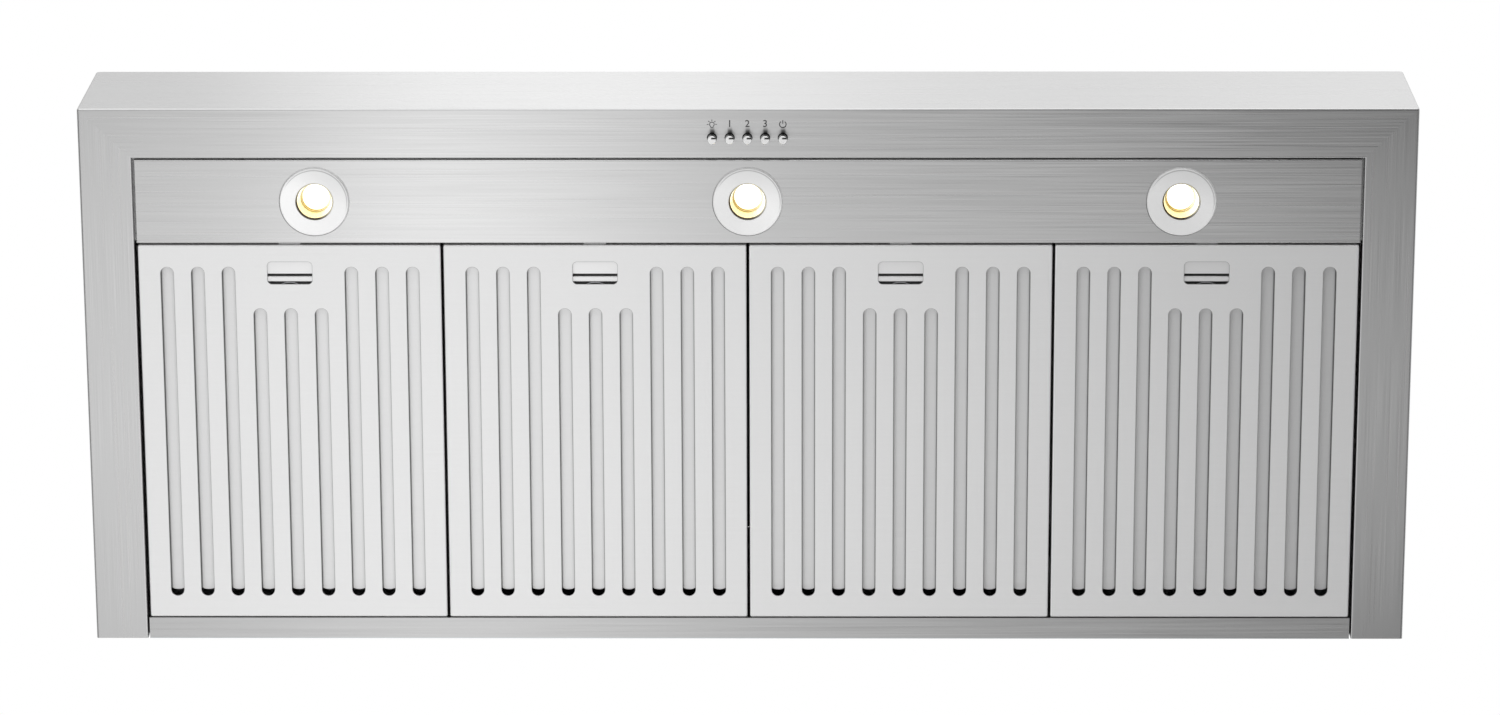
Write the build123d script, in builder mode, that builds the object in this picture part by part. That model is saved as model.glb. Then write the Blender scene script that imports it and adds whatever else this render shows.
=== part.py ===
from build123d import *
import math
import os

os.makedirs("parts", exist_ok=True)

# A wall mount range hood, in millimetres.
# X runs along the wall, Y towards it, and Z up.
# The origin is on the wall, at the middle of the hood's lower back edge.

# Canopy
width = 1219.2
depth = 509.0
band_height = 144.0
roof_rise = 186.0
sheet = 1.0
band_foot_radius = 2.4
band_top_radius = 6.0
band_corner_radius = 2.0
crown_margin = 4.0
crown_ledge = 16.0

# Underside rim, turned in from the band and then up
rim_side = 48.4
rim_front = 46.5
rim_return = 12.0
rim_bend = 1.4

# Clearances
seat_gap = 0.3
seam_gap = 1.5
shaft_gap = 0.05
deck_gap = 0.5

# Back panel and the wall screws
wall_screw_radius = 3.25
wall_screw_from_side = 109.6
wall_screw_spacing_z = 60.0
wall_screw_mid_z = 85.0
keyhole_head_radius = 6.0
keyhole_slot_radius = 3.0
keyhole_drop = 14.0
keyhole_spacing = 440.0
keyhole_z = 190.0

# Back rail
rail_depth = 20.2
rail_front_upstand = 13.0
rail_rear_upstand = 40.0
rail_bend = 1.4

# Light panel
panel_z = 0.4
panel_depth = 78.8
panel_lip = 8.0
panel_rear_upstand = 13.0
panel_hole_radius = 26.0

# Filters
filter_count = 4
filter_side_gap = 2.6
filter_gap = 2.0
filter_front_gap = 1.9
filter_rear_gap = 0.8
filter_z = 0.4
filter_sheet = 1.0
filter_bend = 1.6
filter_corner_radius = 2.0
tab_width = 22.0
tab_reach = 12.0
tab_spread = 180.0

# Slots in a filter's face
slot_count = 9
short_slot_count = 3
slot_width = 12.0
slot_side_margin = 26.3
slot_rear_margin = 20.8
slot_front_margin = 20.7
short_slot_front_margin = 60.2

# Baffle sheet behind the slots
baffle_sheet = 0.8
baffle_floor = 5.6
baffle_opening = 8.0
baffle_flange = 3.6
baffle_side_gap = 0.7
baffle_gap_rear_margin = 19.0
baffle_gap_front_margin = 18.0
short_gap_front_margin = 58.0
drain_width = 15.0
drain_length = 16.5
drain_from_rear = 13.0
drain_tip_from_rear = 25.0
drain_tongue_radius = 12.0

# Finger latch in each filter
window_width = 41.0
window_length = 21.2
window_front_margin = 15.7
window_radius = 4.0
latch_sheet = 0.8
latch_cover = 2.5
latch_front_plate = 11.4
finger_slit = 2.7
lip_length = 5.1
lip_height = 2.5
lip_radius = 1.0
tongue_width = 20.0
tongue_thickness = 1.0
tongue_height = 5.0
tongue_root = 4.0
tongue_gap = 0.4
tongue_slot_gap = 0.4
latch_front_reach = 11.0
spring_strip = 0.4
spring_height = 3.0
spring_span = 30.0
spring_room = 10.0
spring_stop_width = 34.0

# Push buttons
button_count = 5
button_pitch = 16.1
button_radius = 4.0
button_from_front = 27.2
button_reach = 10.0
button_edge = 0.4
button_travel = 3.0
button_hole_gap = 0.65
button_collar_radius = 5.2
button_collar = 2.0
button_stem_radius = 3.0
button_stem = 4.0
button_end_room = 1.0

# Switch block behind the buttons
switch_length = 86.0
switch_depth = 21.0
switch_height = 26.0
switch_floor = 6.0
switch_rear_room = 7.5
bracket_sheet = 1.0
bracket_ear = 18.0

# Lights
light_from_side = 165.8
bezel_radius = 31.7
bezel_drop = 2.0
bezel_aperture_radius = 17.5
bezel_dish = 1.6
bezel_edge = 0.8
bezel_seat = 2.8
bezel_wall = 1.2
bezel_barrel_radius = 24.6
bezel_barrel_height = 22.0
bezel_ear = 5.0
bezel_ear_count = 3
lamp_wall = 0.8
lamp_front_radius = 16.6
lamp_waist_radius = 15.2
lamp_throat_radius = 12.4
lamp_flange_radius = 22.0
lamp_depth = 17.0
lamp_facets = 24
holder_height = 16.0
holder_plate = 3.0
holder_boss_radius = 7.0
holder_fin_count = 8
holder_fin = 2.4

# Blower: a two-row wheel in a scroll
wheel_radius = 80.0
wheel_inner_radius = 66.0
wheel_width = 146.0
blade_count = 28
blade_sheet = 1.2
blade_lead = 7.0
blade_mid_lead = 2.0
wheel_plate = 1.6
wheel_ring = 8.0
hub_radius = 12.0
hub_length = 22.0
shaft_radius = 4.0
motor_radius = 42.0
motor_bell_radius = 30.0
motor_bell = 10.0
motor_length = 84.0
motor_from_wheel = 14.0
shaft_in_motor = 36.0
scroll_sheet = 1.2
scroll_side_gap = 10.0
scroll_start_radius = 89.0
scroll_end_radius = 140.0
scroll_cutoff_offset = 10.0
scroll_flange = 12.0
scroll_bottom_clear = 44.0
scroll_steps = 6
inlet_sheet = 1.2
inlet_throat_radius = 61.0
inlet_slope = 6.0
inlet_hole_gap = 2.0
inlet_flange = 14.0
inlet_lip = 2.0
cradle_sheet = 2.0
cradle_arm = 12.0
cradle_arm_count = 3
cradle_arm_end = 2.0
cradle_clamp = 3.0
cradle_clamp_length = 9.0

# Deck on the crown, duct collar and damper
deck_sheet = 1.5
collar_radius = 74.5
collar_wall = 1.2
collar_height = 60.0
collar_flange = 12.0
flap_sheet = 1.0
flap_gap = 1.0
flap_middle_gap = 1.4
flap_pin_radius = 1.6
flap_pin_offset = 2.2
flap_ledge = 3.0
flap_ledge_height = 10.0

# Cable gland in the deck
gland_bore_radius = 4.0
gland_radius = 8.0
gland_flange_radius = 11.0
gland_flange = 3.0
gland_height = 14.0
gland_x = 115.0
gland_from_wall = 30.0

# Control box on the back panel
control_width = 180.0
control_depth = 60.0
control_height = 90.0
control_from_side = 279.6
control_z = 56.0
control_sheet = 1.0
control_margin = 6.0
cover_lip = 8.0
driver_width = 84.0
driver_depth = 30.0
driver_height = 38.0
driver_corner_radius = 3.0
terminal_width = 60.0
terminal_depth = 22.0
terminal_height = 18.0
terminal_rise = 53.0
terminal_ways = 5
terminal_bore_radius = 2.5
terminal_bore_depth = 12.0
capacitor_radius = 15.0
capacitor_height = 62.0

# Chimney covers
chimney_width = 300.0
chimney_depth = 280.0
chimney_lower_height = 440.0
chimney_upper_height = 480.0
chimney_upper_start = 90.0
chimney_corner_radius = 2.0
chimney_slide_gap = 0.4
chimney_return = 14.0
foot_length = 60.0
foot_width = 18.0
foot_height = 24.0
bracket_wall_sheet = 1.2
bracket_height = 30.0
bracket_below_top = 12.0
bracket_arm = 40.0
bracket_screw_spacing = 200.0
bracket_screw_radius = 2.75

# Worked out from the above
roof_top = band_height + roof_rise
crown_width = chimney_width + 2 * crown_margin
crown_depth = chimney_depth + crown_margin
opening_width = width - 2 * rim_side
opening_front = rim_front - depth
panel_front = opening_front + seam_gap
panel_rear = panel_front + panel_depth
panel_width = opening_width - 2 * seam_gap
light_y = (panel_front + panel_rear) / 2
light_spacing = opening_width / 2 - light_from_side
light_xs = (-light_spacing, 0, light_spacing)
filter_front = panel_rear + filter_front_gap
filter_rear = -rail_depth - filter_rear_gap
filter_length = filter_rear - filter_front
filter_mid_y = (filter_front + filter_rear) / 2
filter_pitch = (opening_width - 2 * filter_side_gap + filter_gap) / filter_count
filter_width = filter_pitch - filter_gap
filter_height = rail_front_upstand + seat_gap + filter_sheet - filter_z
filter_top = filter_z + filter_height
face_top = filter_z + filter_sheet
baffle_under = face_top + baffle_floor
baffle_width = filter_width - 2 * (filter_sheet + baffle_side_gap)
baffle_length = filter_length - 2 * (filter_sheet + baffle_side_gap)
slot_pitch = (filter_width - 2 * slot_side_margin) / (slot_count - 1)
slot_steps = [(n - (slot_count - 1) / 2) * slot_pitch for n in range(slot_count)]
short_slot_steps = [step for step in slot_steps if abs(step) < short_slot_count * slot_pitch / 2]
long_slot_steps = [step for step in slot_steps if step not in short_slot_steps]
slot_rear = filter_rear - slot_rear_margin
long_slot_length = slot_rear - filter_front - slot_front_margin
short_slot_length = slot_rear - filter_front - short_slot_front_margin
long_slot_y = slot_rear - long_slot_length / 2
short_slot_y = slot_rear - short_slot_length / 2
gap_steps = [(n - slot_count / 2) * slot_pitch for n in range(slot_count + 1)]
short_gap_steps = [step for step in gap_steps if abs(step) < (short_slot_count - 1) * slot_pitch / 2]
long_gap_steps = [step for step in gap_steps if step not in short_gap_steps]
gap_rear = filter_rear - baffle_gap_rear_margin
long_gap_length = gap_rear - filter_front - baffle_gap_front_margin
short_gap_length = gap_rear - filter_front - short_gap_front_margin
long_gap_y = gap_rear - long_gap_length / 2
short_gap_y = gap_rear - short_gap_length / 2
drain_tongue_y = filter_rear - drain_tip_from_rear - drain_tongue_radius
window_front = filter_front + window_front_margin
slit_front = window_front + latch_front_plate
lip_front = slit_front + finger_slit
lip_rear = lip_front + lip_length
latch_front = window_front - latch_front_reach
latch_z = face_top + seat_gap
latch_flange_top = baffle_under - seat_gap
tongue_z = filter_z + tongue_height
tongue_tip = panel_rear + tongue_gap
spring_z = latch_z
spring_stop_y = lip_rear + spring_room
button_y = button_from_front - depth
button_xs = [(n - (button_count - 1) / 2) * button_pitch for n in range(button_count)]
bracket_top = sheet + bracket_sheet
collar_z = bracket_top + switch_floor
collar_room = 2 * (button_collar_radius + seat_gap)
switch_mid_y = button_y + switch_rear_room - switch_depth / 2
lamp_z = panel_z + bezel_seat
lamp_top = lamp_z + lamp_depth + lamp_wall
barrel_top = panel_z + bezel_barrel_height
fan_y = -chimney_depth / 2 - (scroll_end_radius - scroll_cutoff_offset) / 2
fan_z = scroll_bottom_clear + scroll_start_radius + 0.6 * (scroll_end_radius - scroll_start_radius)
scroll_half = wheel_width / 2 + scroll_side_gap
scroll_start_angle = 90 + math.degrees(math.asin(scroll_cutoff_offset / scroll_start_radius))
neck_rear = fan_y + scroll_end_radius
neck_front = fan_y - scroll_cutoff_offset
inlet_hole_radius = wheel_inner_radius + inlet_hole_gap
cradle_x = scroll_half + inlet_sheet
cradle_reach = inlet_throat_radius + inlet_slope + inlet_flange - cradle_arm_end
blade_tip_radius = wheel_radius - blade_sheet
blade_mid_radius = (wheel_inner_radius + blade_tip_radius) / 2
deck_top = roof_top + deck_sheet
duct_y = -chimney_depth / 2
flap_z = deck_top + flap_ledge_height + collar_wall + seat_gap
flap_pin_z = flap_z + flap_pin_radius
control_x = width / 2 - control_from_side
control_left = control_x - control_width / 2 + control_margin
control_mid_z = control_z + control_height / 2
terminal_z = control_z + terminal_rise
capacitor_x = control_x + control_width / 2 - control_margin - capacitor_radius
upper_inset = sheet + chimney_slide_gap
chimney_upper_bottom = roof_top + chimney_upper_start
chimney_upper_top = chimney_upper_bottom + chimney_upper_height
bracket_screw_z = chimney_upper_top - bracket_below_top - bracket_height / 2


def save(piece, name):
    piece.part.label = name
    export_step(piece.part, f"parts/{name}.step")


def front_outline(inset):
    with BuildSketch(Plane.XZ) as outline:
        with BuildLine():
            Polyline(
                (-width / 2, 0),
                (width / 2, 0),
                (width / 2, band_height),
                (crown_width / 2, roof_top),
                (-crown_width / 2, roof_top),
                (-width / 2, band_height),
                close=True,
            )
        make_face()
        shoulders = outline.vertices().filter_by(lambda v: abs(v.Z - band_height) < 1)
        fillet(shoulders, band_top_radius)
        feet = outline.vertices().filter_by(lambda v: v.Z < 1)
        fillet(feet, band_foot_radius)
        if inset:
            offset(amount=-inset)
    return outline.sketch


def side_outline(inset, back):
    with BuildSketch(Plane.YZ) as outline:
        with BuildLine():
            Polyline(
                (back, 0),
                (-depth, 0),
                (-depth, band_height),
                (-crown_depth, roof_top),
                (back, roof_top),
                close=True,
            )
        make_face()
        shoulder = outline.vertices().filter_by(lambda v: abs(v.Z - band_height) < 1)
        fillet(shoulder, band_top_radius)
        foot = outline.vertices().filter_by(lambda v: v.Z < 1 and v.Y < -1)
        fillet(foot, band_foot_radius)
        if inset:
            offset(amount=-inset)
    return outline.sketch


def canopy_form(inset, back):
    with BuildPart() as form:
        extrude(to_extrude=front_outline(inset), amount=depth)
        if back:
            extrude(to_extrude=front_outline(inset), amount=-back)
        extrude(
            to_extrude=side_outline(inset, back), amount=width / 2, both=True, mode=Mode.INTERSECT
        )
        upright = form.edges().filter_by(Axis.Z).filter_by(lambda e: e.center().Y < -depth / 2)
        fillet(upright, band_corner_radius - inset)
    return form.part


# Canopy shell: one welded sheet, open at the back and below
canopy_outside = canopy_form(0, 0)
canopy_inside = canopy_form(sheet, 2 * sheet)
with BuildPart() as canopy_shell:
    add(canopy_outside)
    add(canopy_inside, mode=Mode.SUBTRACT)
    with BuildSketch(Plane.XY):
        Rectangle(opening_width, -opening_front, align=(Align.CENTER, Align.MAX))
    extrude(amount=sheet, mode=Mode.SUBTRACT)
    with BuildSketch(Plane.XY):
        Rectangle(opening_width + 2 * sheet, sheet - opening_front, align=(Align.CENTER, Align.MAX))
        Rectangle(
            opening_width, -opening_front, align=(Align.CENTER, Align.MAX), mode=Mode.SUBTRACT
        )
    extrude(amount=rim_return)
    rim_edge = canopy_shell.edges().filter_by(
        lambda e: abs(e.center().Z) < 0.01
        and e.center().Y > opening_front - 0.01
        and abs(e.center().X) < opening_width / 2 + 0.01
        and e.length > rim_side + sheet
    )
    fillet(rim_edge, rim_bend)
    with BuildSketch(Plane.XY):
        with Locations(*[(x, button_y) for x in button_xs]):
            Circle(button_radius + button_hole_gap)
    extrude(amount=sheet, mode=Mode.SUBTRACT)
    with BuildSketch(Plane.XY.offset(roof_top)):
        Rectangle(
            crown_width - 2 * crown_ledge,
            crown_depth - crown_ledge,
            align=(Align.CENTER, Align.MAX),
        )
    extrude(amount=-sheet, mode=Mode.SUBTRACT)
save(canopy_shell, "canopy_shell")

# Back panel: closes the canopy and takes the wall screws
with BuildPart() as back_panel:
    with BuildSketch(Plane.XZ):
        add(front_outline(sheet + seat_gap))
        Rectangle(
            opening_width + 2 * (sheet + seat_gap),
            rim_return + seat_gap,
            align=(Align.CENTER, Align.MIN),
            mode=Mode.SUBTRACT,
        )
        Rectangle(panel_width, rail_rear_upstand, align=(Align.CENTER, Align.MIN))
        with Locations((0, wall_screw_mid_z)):
            with GridLocations(width - 2 * wall_screw_from_side, wall_screw_spacing_z, 2, 2):
                Circle(wall_screw_radius, mode=Mode.SUBTRACT)
        with Locations((-keyhole_spacing / 2, keyhole_z), (keyhole_spacing / 2, keyhole_z)):
            Circle(keyhole_head_radius, mode=Mode.SUBTRACT)
        with Locations(
            (-keyhole_spacing / 2, keyhole_z + keyhole_drop / 2),
            (keyhole_spacing / 2, keyhole_z + keyhole_drop / 2),
        ):
            SlotCenterToCenter(
                keyhole_drop, 2 * keyhole_slot_radius, rotation=90, mode=Mode.SUBTRACT
            )
    extrude(amount=sheet)
save(back_panel, "back_panel")

# Back rail: a channel along the wall that the filters' rear edges hang on
with BuildPart() as back_rail:
    with BuildSketch(Plane.YZ) as rail_section:
        with BuildLine():
            Polyline(
                (-sheet, 0),
                (-rail_depth, 0),
                (-rail_depth, rail_front_upstand),
                (-rail_depth + sheet, rail_front_upstand),
                (-rail_depth + sheet, sheet),
                (-2 * sheet, sheet),
                (-2 * sheet, rail_rear_upstand),
                (-sheet, rail_rear_upstand),
                close=True,
            )
        make_face()
        rail_corner = rail_section.vertices().filter_by(lambda v: v.Z < 0.01 and v.Y < -2 * sheet)
        fillet(rail_corner, rail_bend)
    extrude(amount=panel_width / 2, both=True)
save(back_rail, "back_rail")

# Light panel: a tray whose lips rest on the rim's upturned edge
with BuildPart() as light_panel:
    with BuildSketch(Plane.XY.offset(panel_z)):
        with Locations((0, light_y)):
            Rectangle(panel_width, panel_depth)
    extrude(amount=panel_rear_upstand - panel_z)
    panel_foot = light_panel.edges().group_by(Axis.Z)[0]
    fillet(panel_foot, rim_bend)
    with Locations((0, light_y, panel_z + sheet)):
        Box(
            panel_width - 2 * sheet,
            panel_depth - 2 * sheet,
            panel_rear_upstand,
            align=(Align.CENTER, Align.CENTER, Align.MIN),
            mode=Mode.SUBTRACT,
        )
    with BuildSketch(Plane.XY.offset(rim_return)):
        with Locations((0, panel_rear)):
            Rectangle(
                panel_width + 2 * panel_lip, panel_depth + panel_lip, align=(Align.CENTER, Align.MAX)
            )
            Rectangle(
                panel_width - 2 * sheet,
                panel_depth - sheet,
                align=(Align.CENTER, Align.MAX),
                mode=Mode.SUBTRACT,
            )
    extrude(amount=panel_rear_upstand - rim_return)
    with BuildSketch(Plane.XY.offset(panel_z)):
        with Locations(*[(x, light_y) for x in light_xs]):
            Circle(panel_hole_radius)
    extrude(amount=sheet, mode=Mode.SUBTRACT)
save(light_panel, "light_panel")


# Filter face: a shallow tray with long slots, a latch window and two rear tabs
def make_filter_face(x, name):
    with BuildPart() as face:
        with BuildSketch(Plane.XY.offset(filter_z)):
            with Locations((x, filter_mid_y)):
                RectangleRounded(filter_width, filter_length, filter_corner_radius)
        extrude(amount=filter_height)
        fillet(face.edges().group_by(Axis.Z)[0], filter_bend)
        offset(amount=-filter_sheet, openings=face.faces().sort_by(Axis.Z)[-1])
        with BuildSketch(Plane.XY.offset(filter_z)):
            with Locations(*[(x + step, long_slot_y) for step in long_slot_steps]):
                SlotOverall(long_slot_length, slot_width, rotation=90)
            with Locations(*[(x + step, short_slot_y) for step in short_slot_steps]):
                SlotOverall(short_slot_length, slot_width, rotation=90)
            with Locations((x, window_front + window_length / 2)):
                RectangleRounded(window_width, window_length, window_radius)
        extrude(amount=filter_sheet, mode=Mode.SUBTRACT)
        with Locations((x, filter_front, tongue_z + tongue_thickness / 2)):
            Box(
                tongue_width + 2 * tongue_slot_gap,
                4 * filter_sheet,
                tongue_thickness + 2 * tongue_slot_gap,
                mode=Mode.SUBTRACT,
            )
        with Locations(
            (x - tab_spread / 2, filter_rear - filter_sheet, filter_top),
            (x + tab_spread / 2, filter_rear - filter_sheet, filter_top),
        ):
            Box(
                tab_width,
                tab_reach + filter_sheet,
                filter_sheet,
                align=(Align.CENTER, Align.MIN, Align.MAX),
            )
    save(face, name)


# Filter baffle: an upside-down tray whose flanged openings sit between the face's slots,
# so that the air turns twice and the grease runs to the drains at the rear
def make_filter_baffle(x, name):
    with BuildPart() as baffle:
        with Locations((x, filter_mid_y, face_top)):
            Box(
                baffle_width,
                baffle_length,
                baffle_floor + baffle_sheet,
                align=(Align.CENTER, Align.CENTER, Align.MIN),
            )
            Box(
                baffle_width - 2 * baffle_sheet,
                baffle_length - 2 * baffle_sheet,
                baffle_floor,
                align=(Align.CENTER, Align.CENTER, Align.MIN),
                mode=Mode.SUBTRACT,
            )
        with BuildSketch(Plane.XY.offset(baffle_under - baffle_flange)):
            with Locations(*[(x + step, long_gap_y) for step in long_gap_steps]):
                Rectangle(baffle_opening + 2 * baffle_sheet, long_gap_length)
            with Locations(*[(x + step, short_gap_y) for step in short_gap_steps]):
                Rectangle(baffle_opening + 2 * baffle_sheet, short_gap_length)
        extrude(amount=baffle_flange)
        with BuildSketch(Plane.XY.offset(baffle_under - baffle_flange)):
            with Locations(*[(x + step, long_gap_y) for step in long_gap_steps]):
                Rectangle(baffle_opening, long_gap_length)
            with Locations(*[(x + step, short_gap_y) for step in short_gap_steps]):
                Rectangle(baffle_opening, short_gap_length)
        extrude(amount=baffle_flange + baffle_sheet, mode=Mode.SUBTRACT)
        with BuildSketch(Plane.XY.offset(baffle_under)):
            with Locations(*[(x + step, filter_rear - drain_from_rear) for step in slot_steps]):
                Rectangle(drain_width, drain_length, align=(Align.CENTER, Align.MAX))
            with Locations(*[(x + step, drain_tongue_y) for step in slot_steps]):
                Circle(drain_tongue_radius, mode=Mode.SUBTRACT)
        extrude(amount=baffle_sheet, mode=Mode.SUBTRACT)
        with Locations((x, filter_front, tongue_z + tongue_thickness / 2)):
            Box(
                tongue_width + 2 * tongue_slot_gap,
                4 * filter_sheet + 2 * baffle_side_gap,
                tongue_thickness + 2 * tongue_slot_gap,
                mode=Mode.SUBTRACT,
            )
        with Locations((x, spring_stop_y, spring_z)):
            Box(
                spring_stop_width,
                baffle_sheet,
                baffle_under - spring_z,
                align=(Align.CENTER, Align.MIN, Align.MIN),
            )
    save(baffle, name)


# Filter latch: a finger slide whose tongue reaches out of the filter's front wall
def make_filter_latch(x, name):
    latch_width = window_width + 2 * latch_cover
    with BuildPart() as latch:
        with Locations((x, latch_front, latch_z)):
            Box(
                latch_width,
                slit_front - latch_front,
                latch_sheet,
                align=(Align.CENTER, Align.MIN, Align.MIN),
            )
        with Locations((x, lip_front, latch_z)):
            Box(
                latch_width,
                lip_length,
                lip_height,
                align=(Align.CENTER, Align.MIN, Align.MIN),
            )
        lip_edges = latch.edges().filter_by(Axis.X).filter_by(
            lambda e: abs(e.center().Z - latch_z) < 0.01 and e.center().Y > lip_front - 0.01
        )
        fillet(lip_edges, lip_radius)
        flange_x = (latch_width - latch_sheet) / 2
        with Locations((x - flange_x, latch_front, latch_z), (x + flange_x, latch_front, latch_z)):
            Box(
                latch_sheet,
                lip_rear - latch_front - lip_radius,
                latch_flange_top - latch_z,
                align=(Align.CENTER, Align.MIN, Align.MIN),
            )
        with Locations((x, latch_front, latch_z)):
            Box(
                tongue_width,
                tongue_root,
                tongue_z - latch_z,
                align=(Align.CENTER, Align.MIN, Align.MIN),
            )
        with Locations((x, tongue_tip, tongue_z)):
            Box(
                tongue_width,
                latch_front + tongue_root - tongue_tip,
                tongue_thickness,
                align=(Align.CENTER, Align.MIN, Align.MIN),
            )
    save(latch, name)


# Filter spring: a bowed strip between the latch's lip and the baffle's stop
def make_filter_spring(x, name):
    bow_y = lip_rear + seat_gap + spring_strip / 2
    end_y = spring_stop_y - seat_gap - spring_strip
    with BuildPart() as spring:
        with BuildSketch(Plane.XY.offset(spring_z)):
            with BuildLine():
                ThreePointArc(
                    (x - spring_span / 2, end_y), (x, bow_y), (x + spring_span / 2, end_y)
                )
            trace(line_width=spring_strip)
        extrude(amount=spring_height)
    save(spring, name)


for number in range(filter_count):
    filter_x = (number - (filter_count - 1) / 2) * filter_pitch
    make_filter_face(filter_x, f"filter_{number + 1}_face")
    make_filter_baffle(filter_x, f"filter_{number + 1}_baffle")
    make_filter_latch(filter_x, f"filter_{number + 1}_latch")
    make_filter_spring(filter_x, f"filter_{number + 1}_spring")


# Push button: a cap, a collar that keeps it in the block, and a stem
def make_button(x, name):
    with BuildPart() as button:
        with BuildSketch(Plane.XY.offset(-button_reach)):
            with Locations((x, button_y)):
                Circle(button_radius)
        extrude(amount=button_reach + collar_z)
        chamfer(button.edges().group_by(Axis.Z)[0], button_edge)
        with BuildSketch(Plane.XY.offset(collar_z)):
            with Locations((x, button_y)):
                Circle(button_collar_radius)
        extrude(amount=button_collar)
        with BuildSketch(Plane.XY.offset(collar_z + button_collar)):
            with Locations((x, button_y)):
                Circle(button_stem_radius)
        extrude(amount=button_stem)
    save(button, name)


for number, button_x in enumerate(button_xs):
    make_button(button_x, f"button_{number + 1}")

# Switch block: a blind bore for each button with a square room for its collar
with BuildPart() as switch_block:
    with Locations((0, switch_mid_y, bracket_top)):
        Box(
            switch_length,
            switch_depth,
            switch_height,
            align=(Align.CENTER, Align.CENTER, Align.MIN),
        )
    with BuildSketch(Plane.XY.offset(bracket_top)):
        with Locations(*[(x, button_y) for x in button_xs]):
            Circle(button_radius + shaft_gap)
    extrude(amount=switch_floor, mode=Mode.SUBTRACT)
    with BuildSketch(Plane.XY.offset(collar_z)):
        with Locations(*[(x, button_y) for x in button_xs]):
            Rectangle(collar_room, collar_room)
    extrude(amount=button_collar + button_travel + button_end_room, mode=Mode.SUBTRACT)
    with BuildSketch(Plane.XY.offset(collar_z + button_collar)):
        with Locations(*[(x, button_y) for x in button_xs]):
            Circle(button_stem_radius + shaft_gap)
    extrude(amount=button_stem + button_travel + button_end_room, mode=Mode.SUBTRACT)
save(switch_block, "switch_block")

# Switch bracket: a plate on the rim with two ears that hold the block's ends
with BuildPart() as switch_bracket:
    with BuildSketch(Plane.XY.offset(sheet)):
        with Locations((0, switch_mid_y)):
            Rectangle(switch_length + 2 * bracket_ear, switch_depth)
        with Locations(*[(x, button_y) for x in button_xs]):
            Circle(button_radius + button_hole_gap, mode=Mode.SUBTRACT)
    extrude(amount=bracket_sheet)
    ear_x = (switch_length + bracket_sheet) / 2
    with Locations((-ear_x, switch_mid_y, bracket_top), (ear_x, switch_mid_y, bracket_top)):
        Box(
            bracket_sheet,
            switch_depth,
            bracket_ear,
            align=(Align.CENTER, Align.CENTER, Align.MIN),
        )
save(switch_bracket, "switch_bracket")


# Light bezel: a dished ring below the panel, a barrel above it and three ears over it
def make_bezel(x, name):
    section = Plane(origin=(x, light_y, panel_z), x_dir=(1, 0, 0), z_dir=(0, -1, 0))
    with BuildPart() as bezel:
        with BuildSketch(section):
            with BuildLine():
                Polyline(
                    (bezel_aperture_radius, bezel_dish - bezel_drop),
                    (bezel_radius - bezel_edge, -bezel_drop),
                    (bezel_radius, bezel_edge - bezel_drop),
                    (bezel_radius, 0),
                    (bezel_barrel_radius, 0),
                    (bezel_barrel_radius, bezel_barrel_height),
                    (bezel_barrel_radius - bezel_wall, bezel_barrel_height),
                    (bezel_barrel_radius - bezel_wall, bezel_seat),
                    (bezel_aperture_radius, bezel_seat),
                    close=True,
                )
            make_face()
        revolve(axis=Axis((x, light_y, 0), (0, 0, 1)))
        with Locations((x, light_y, panel_z + sheet + seat_gap)):
            with PolarLocations(bezel_barrel_radius - bezel_wall / 2, bezel_ear_count):
                Box(
                    bezel_ear,
                    bezel_ear,
                    sheet,
                    align=(Align.MIN, Align.CENTER, Align.MIN),
                )
    save(bezel, name)


# Lamp: a faceted reflector bowl on the bezel's inner lip, closed by the emitter
def bowl_taper(radius, next_radius, height):
    step_in = (radius - next_radius) * math.cos(math.pi / lamp_facets)
    return math.degrees(math.atan(step_in / height))


def bowl_form(x, wall):
    half = lamp_depth / 2
    lower_taper = bowl_taper(lamp_front_radius, lamp_waist_radius, half)
    upper_taper = bowl_taper(lamp_waist_radius, lamp_throat_radius, half)
    with BuildPart() as bowl:
        with BuildSketch(Plane.XY.offset(lamp_z)):
            with Locations((x, light_y)):
                RegularPolygon(lamp_front_radius + wall, lamp_facets)
        extrude(amount=half, taper=lower_taper)
        with BuildSketch(Plane.XY.offset(lamp_z + half)):
            with Locations((x, light_y)):
                RegularPolygon(lamp_waist_radius + wall, lamp_facets)
        extrude(amount=half, taper=upper_taper)
    return bowl.part


def make_lamp(x, name):
    with BuildPart() as lamp:
        add(bowl_form(x, lamp_wall))
        with BuildSketch(Plane.XY.offset(lamp_z + lamp_depth)):
            with Locations((x, light_y)):
                RegularPolygon(lamp_throat_radius + lamp_wall, lamp_facets)
        extrude(amount=lamp_wall)
        with BuildSketch(Plane.XY.offset(lamp_z)):
            with Locations((x, light_y)):
                RegularPolygon(lamp_flange_radius, lamp_facets)
        extrude(amount=lamp_wall)
        add(bowl_form(x, 0), mode=Mode.SUBTRACT)
    save(lamp, name)


# Lamp holder: a finned heat sink on top of the bezel's barrel
def make_holder(x, name):
    with BuildPart() as holder:
        with BuildSketch(Plane.XY.offset(lamp_top)):
            with Locations((x, light_y)):
                Circle(holder_boss_radius)
        extrude(amount=barrel_top - lamp_top)
        with BuildSketch(Plane.XY.offset(barrel_top)):
            with Locations((x, light_y)):
                Circle(bezel_barrel_radius)
        extrude(amount=holder_plate)
        with BuildSketch(Plane.XY.offset(barrel_top + holder_plate)):
            with Locations((x, light_y)):
                Circle(holder_boss_radius)
                with PolarLocations(0, holder_fin_count):
                    Rectangle(
                        bezel_barrel_radius - bezel_wall, holder_fin, align=(Align.MIN, Align.CENTER)
                    )
        extrude(amount=holder_height - holder_plate)
    save(holder, name)


for number, lamp_x in enumerate(light_xs):
    make_bezel(lamp_x, f"light_{number + 1}_bezel")
    make_lamp(lamp_x, f"light_{number + 1}_lamp")
    make_holder(lamp_x, f"light_{number + 1}_holder")


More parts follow.
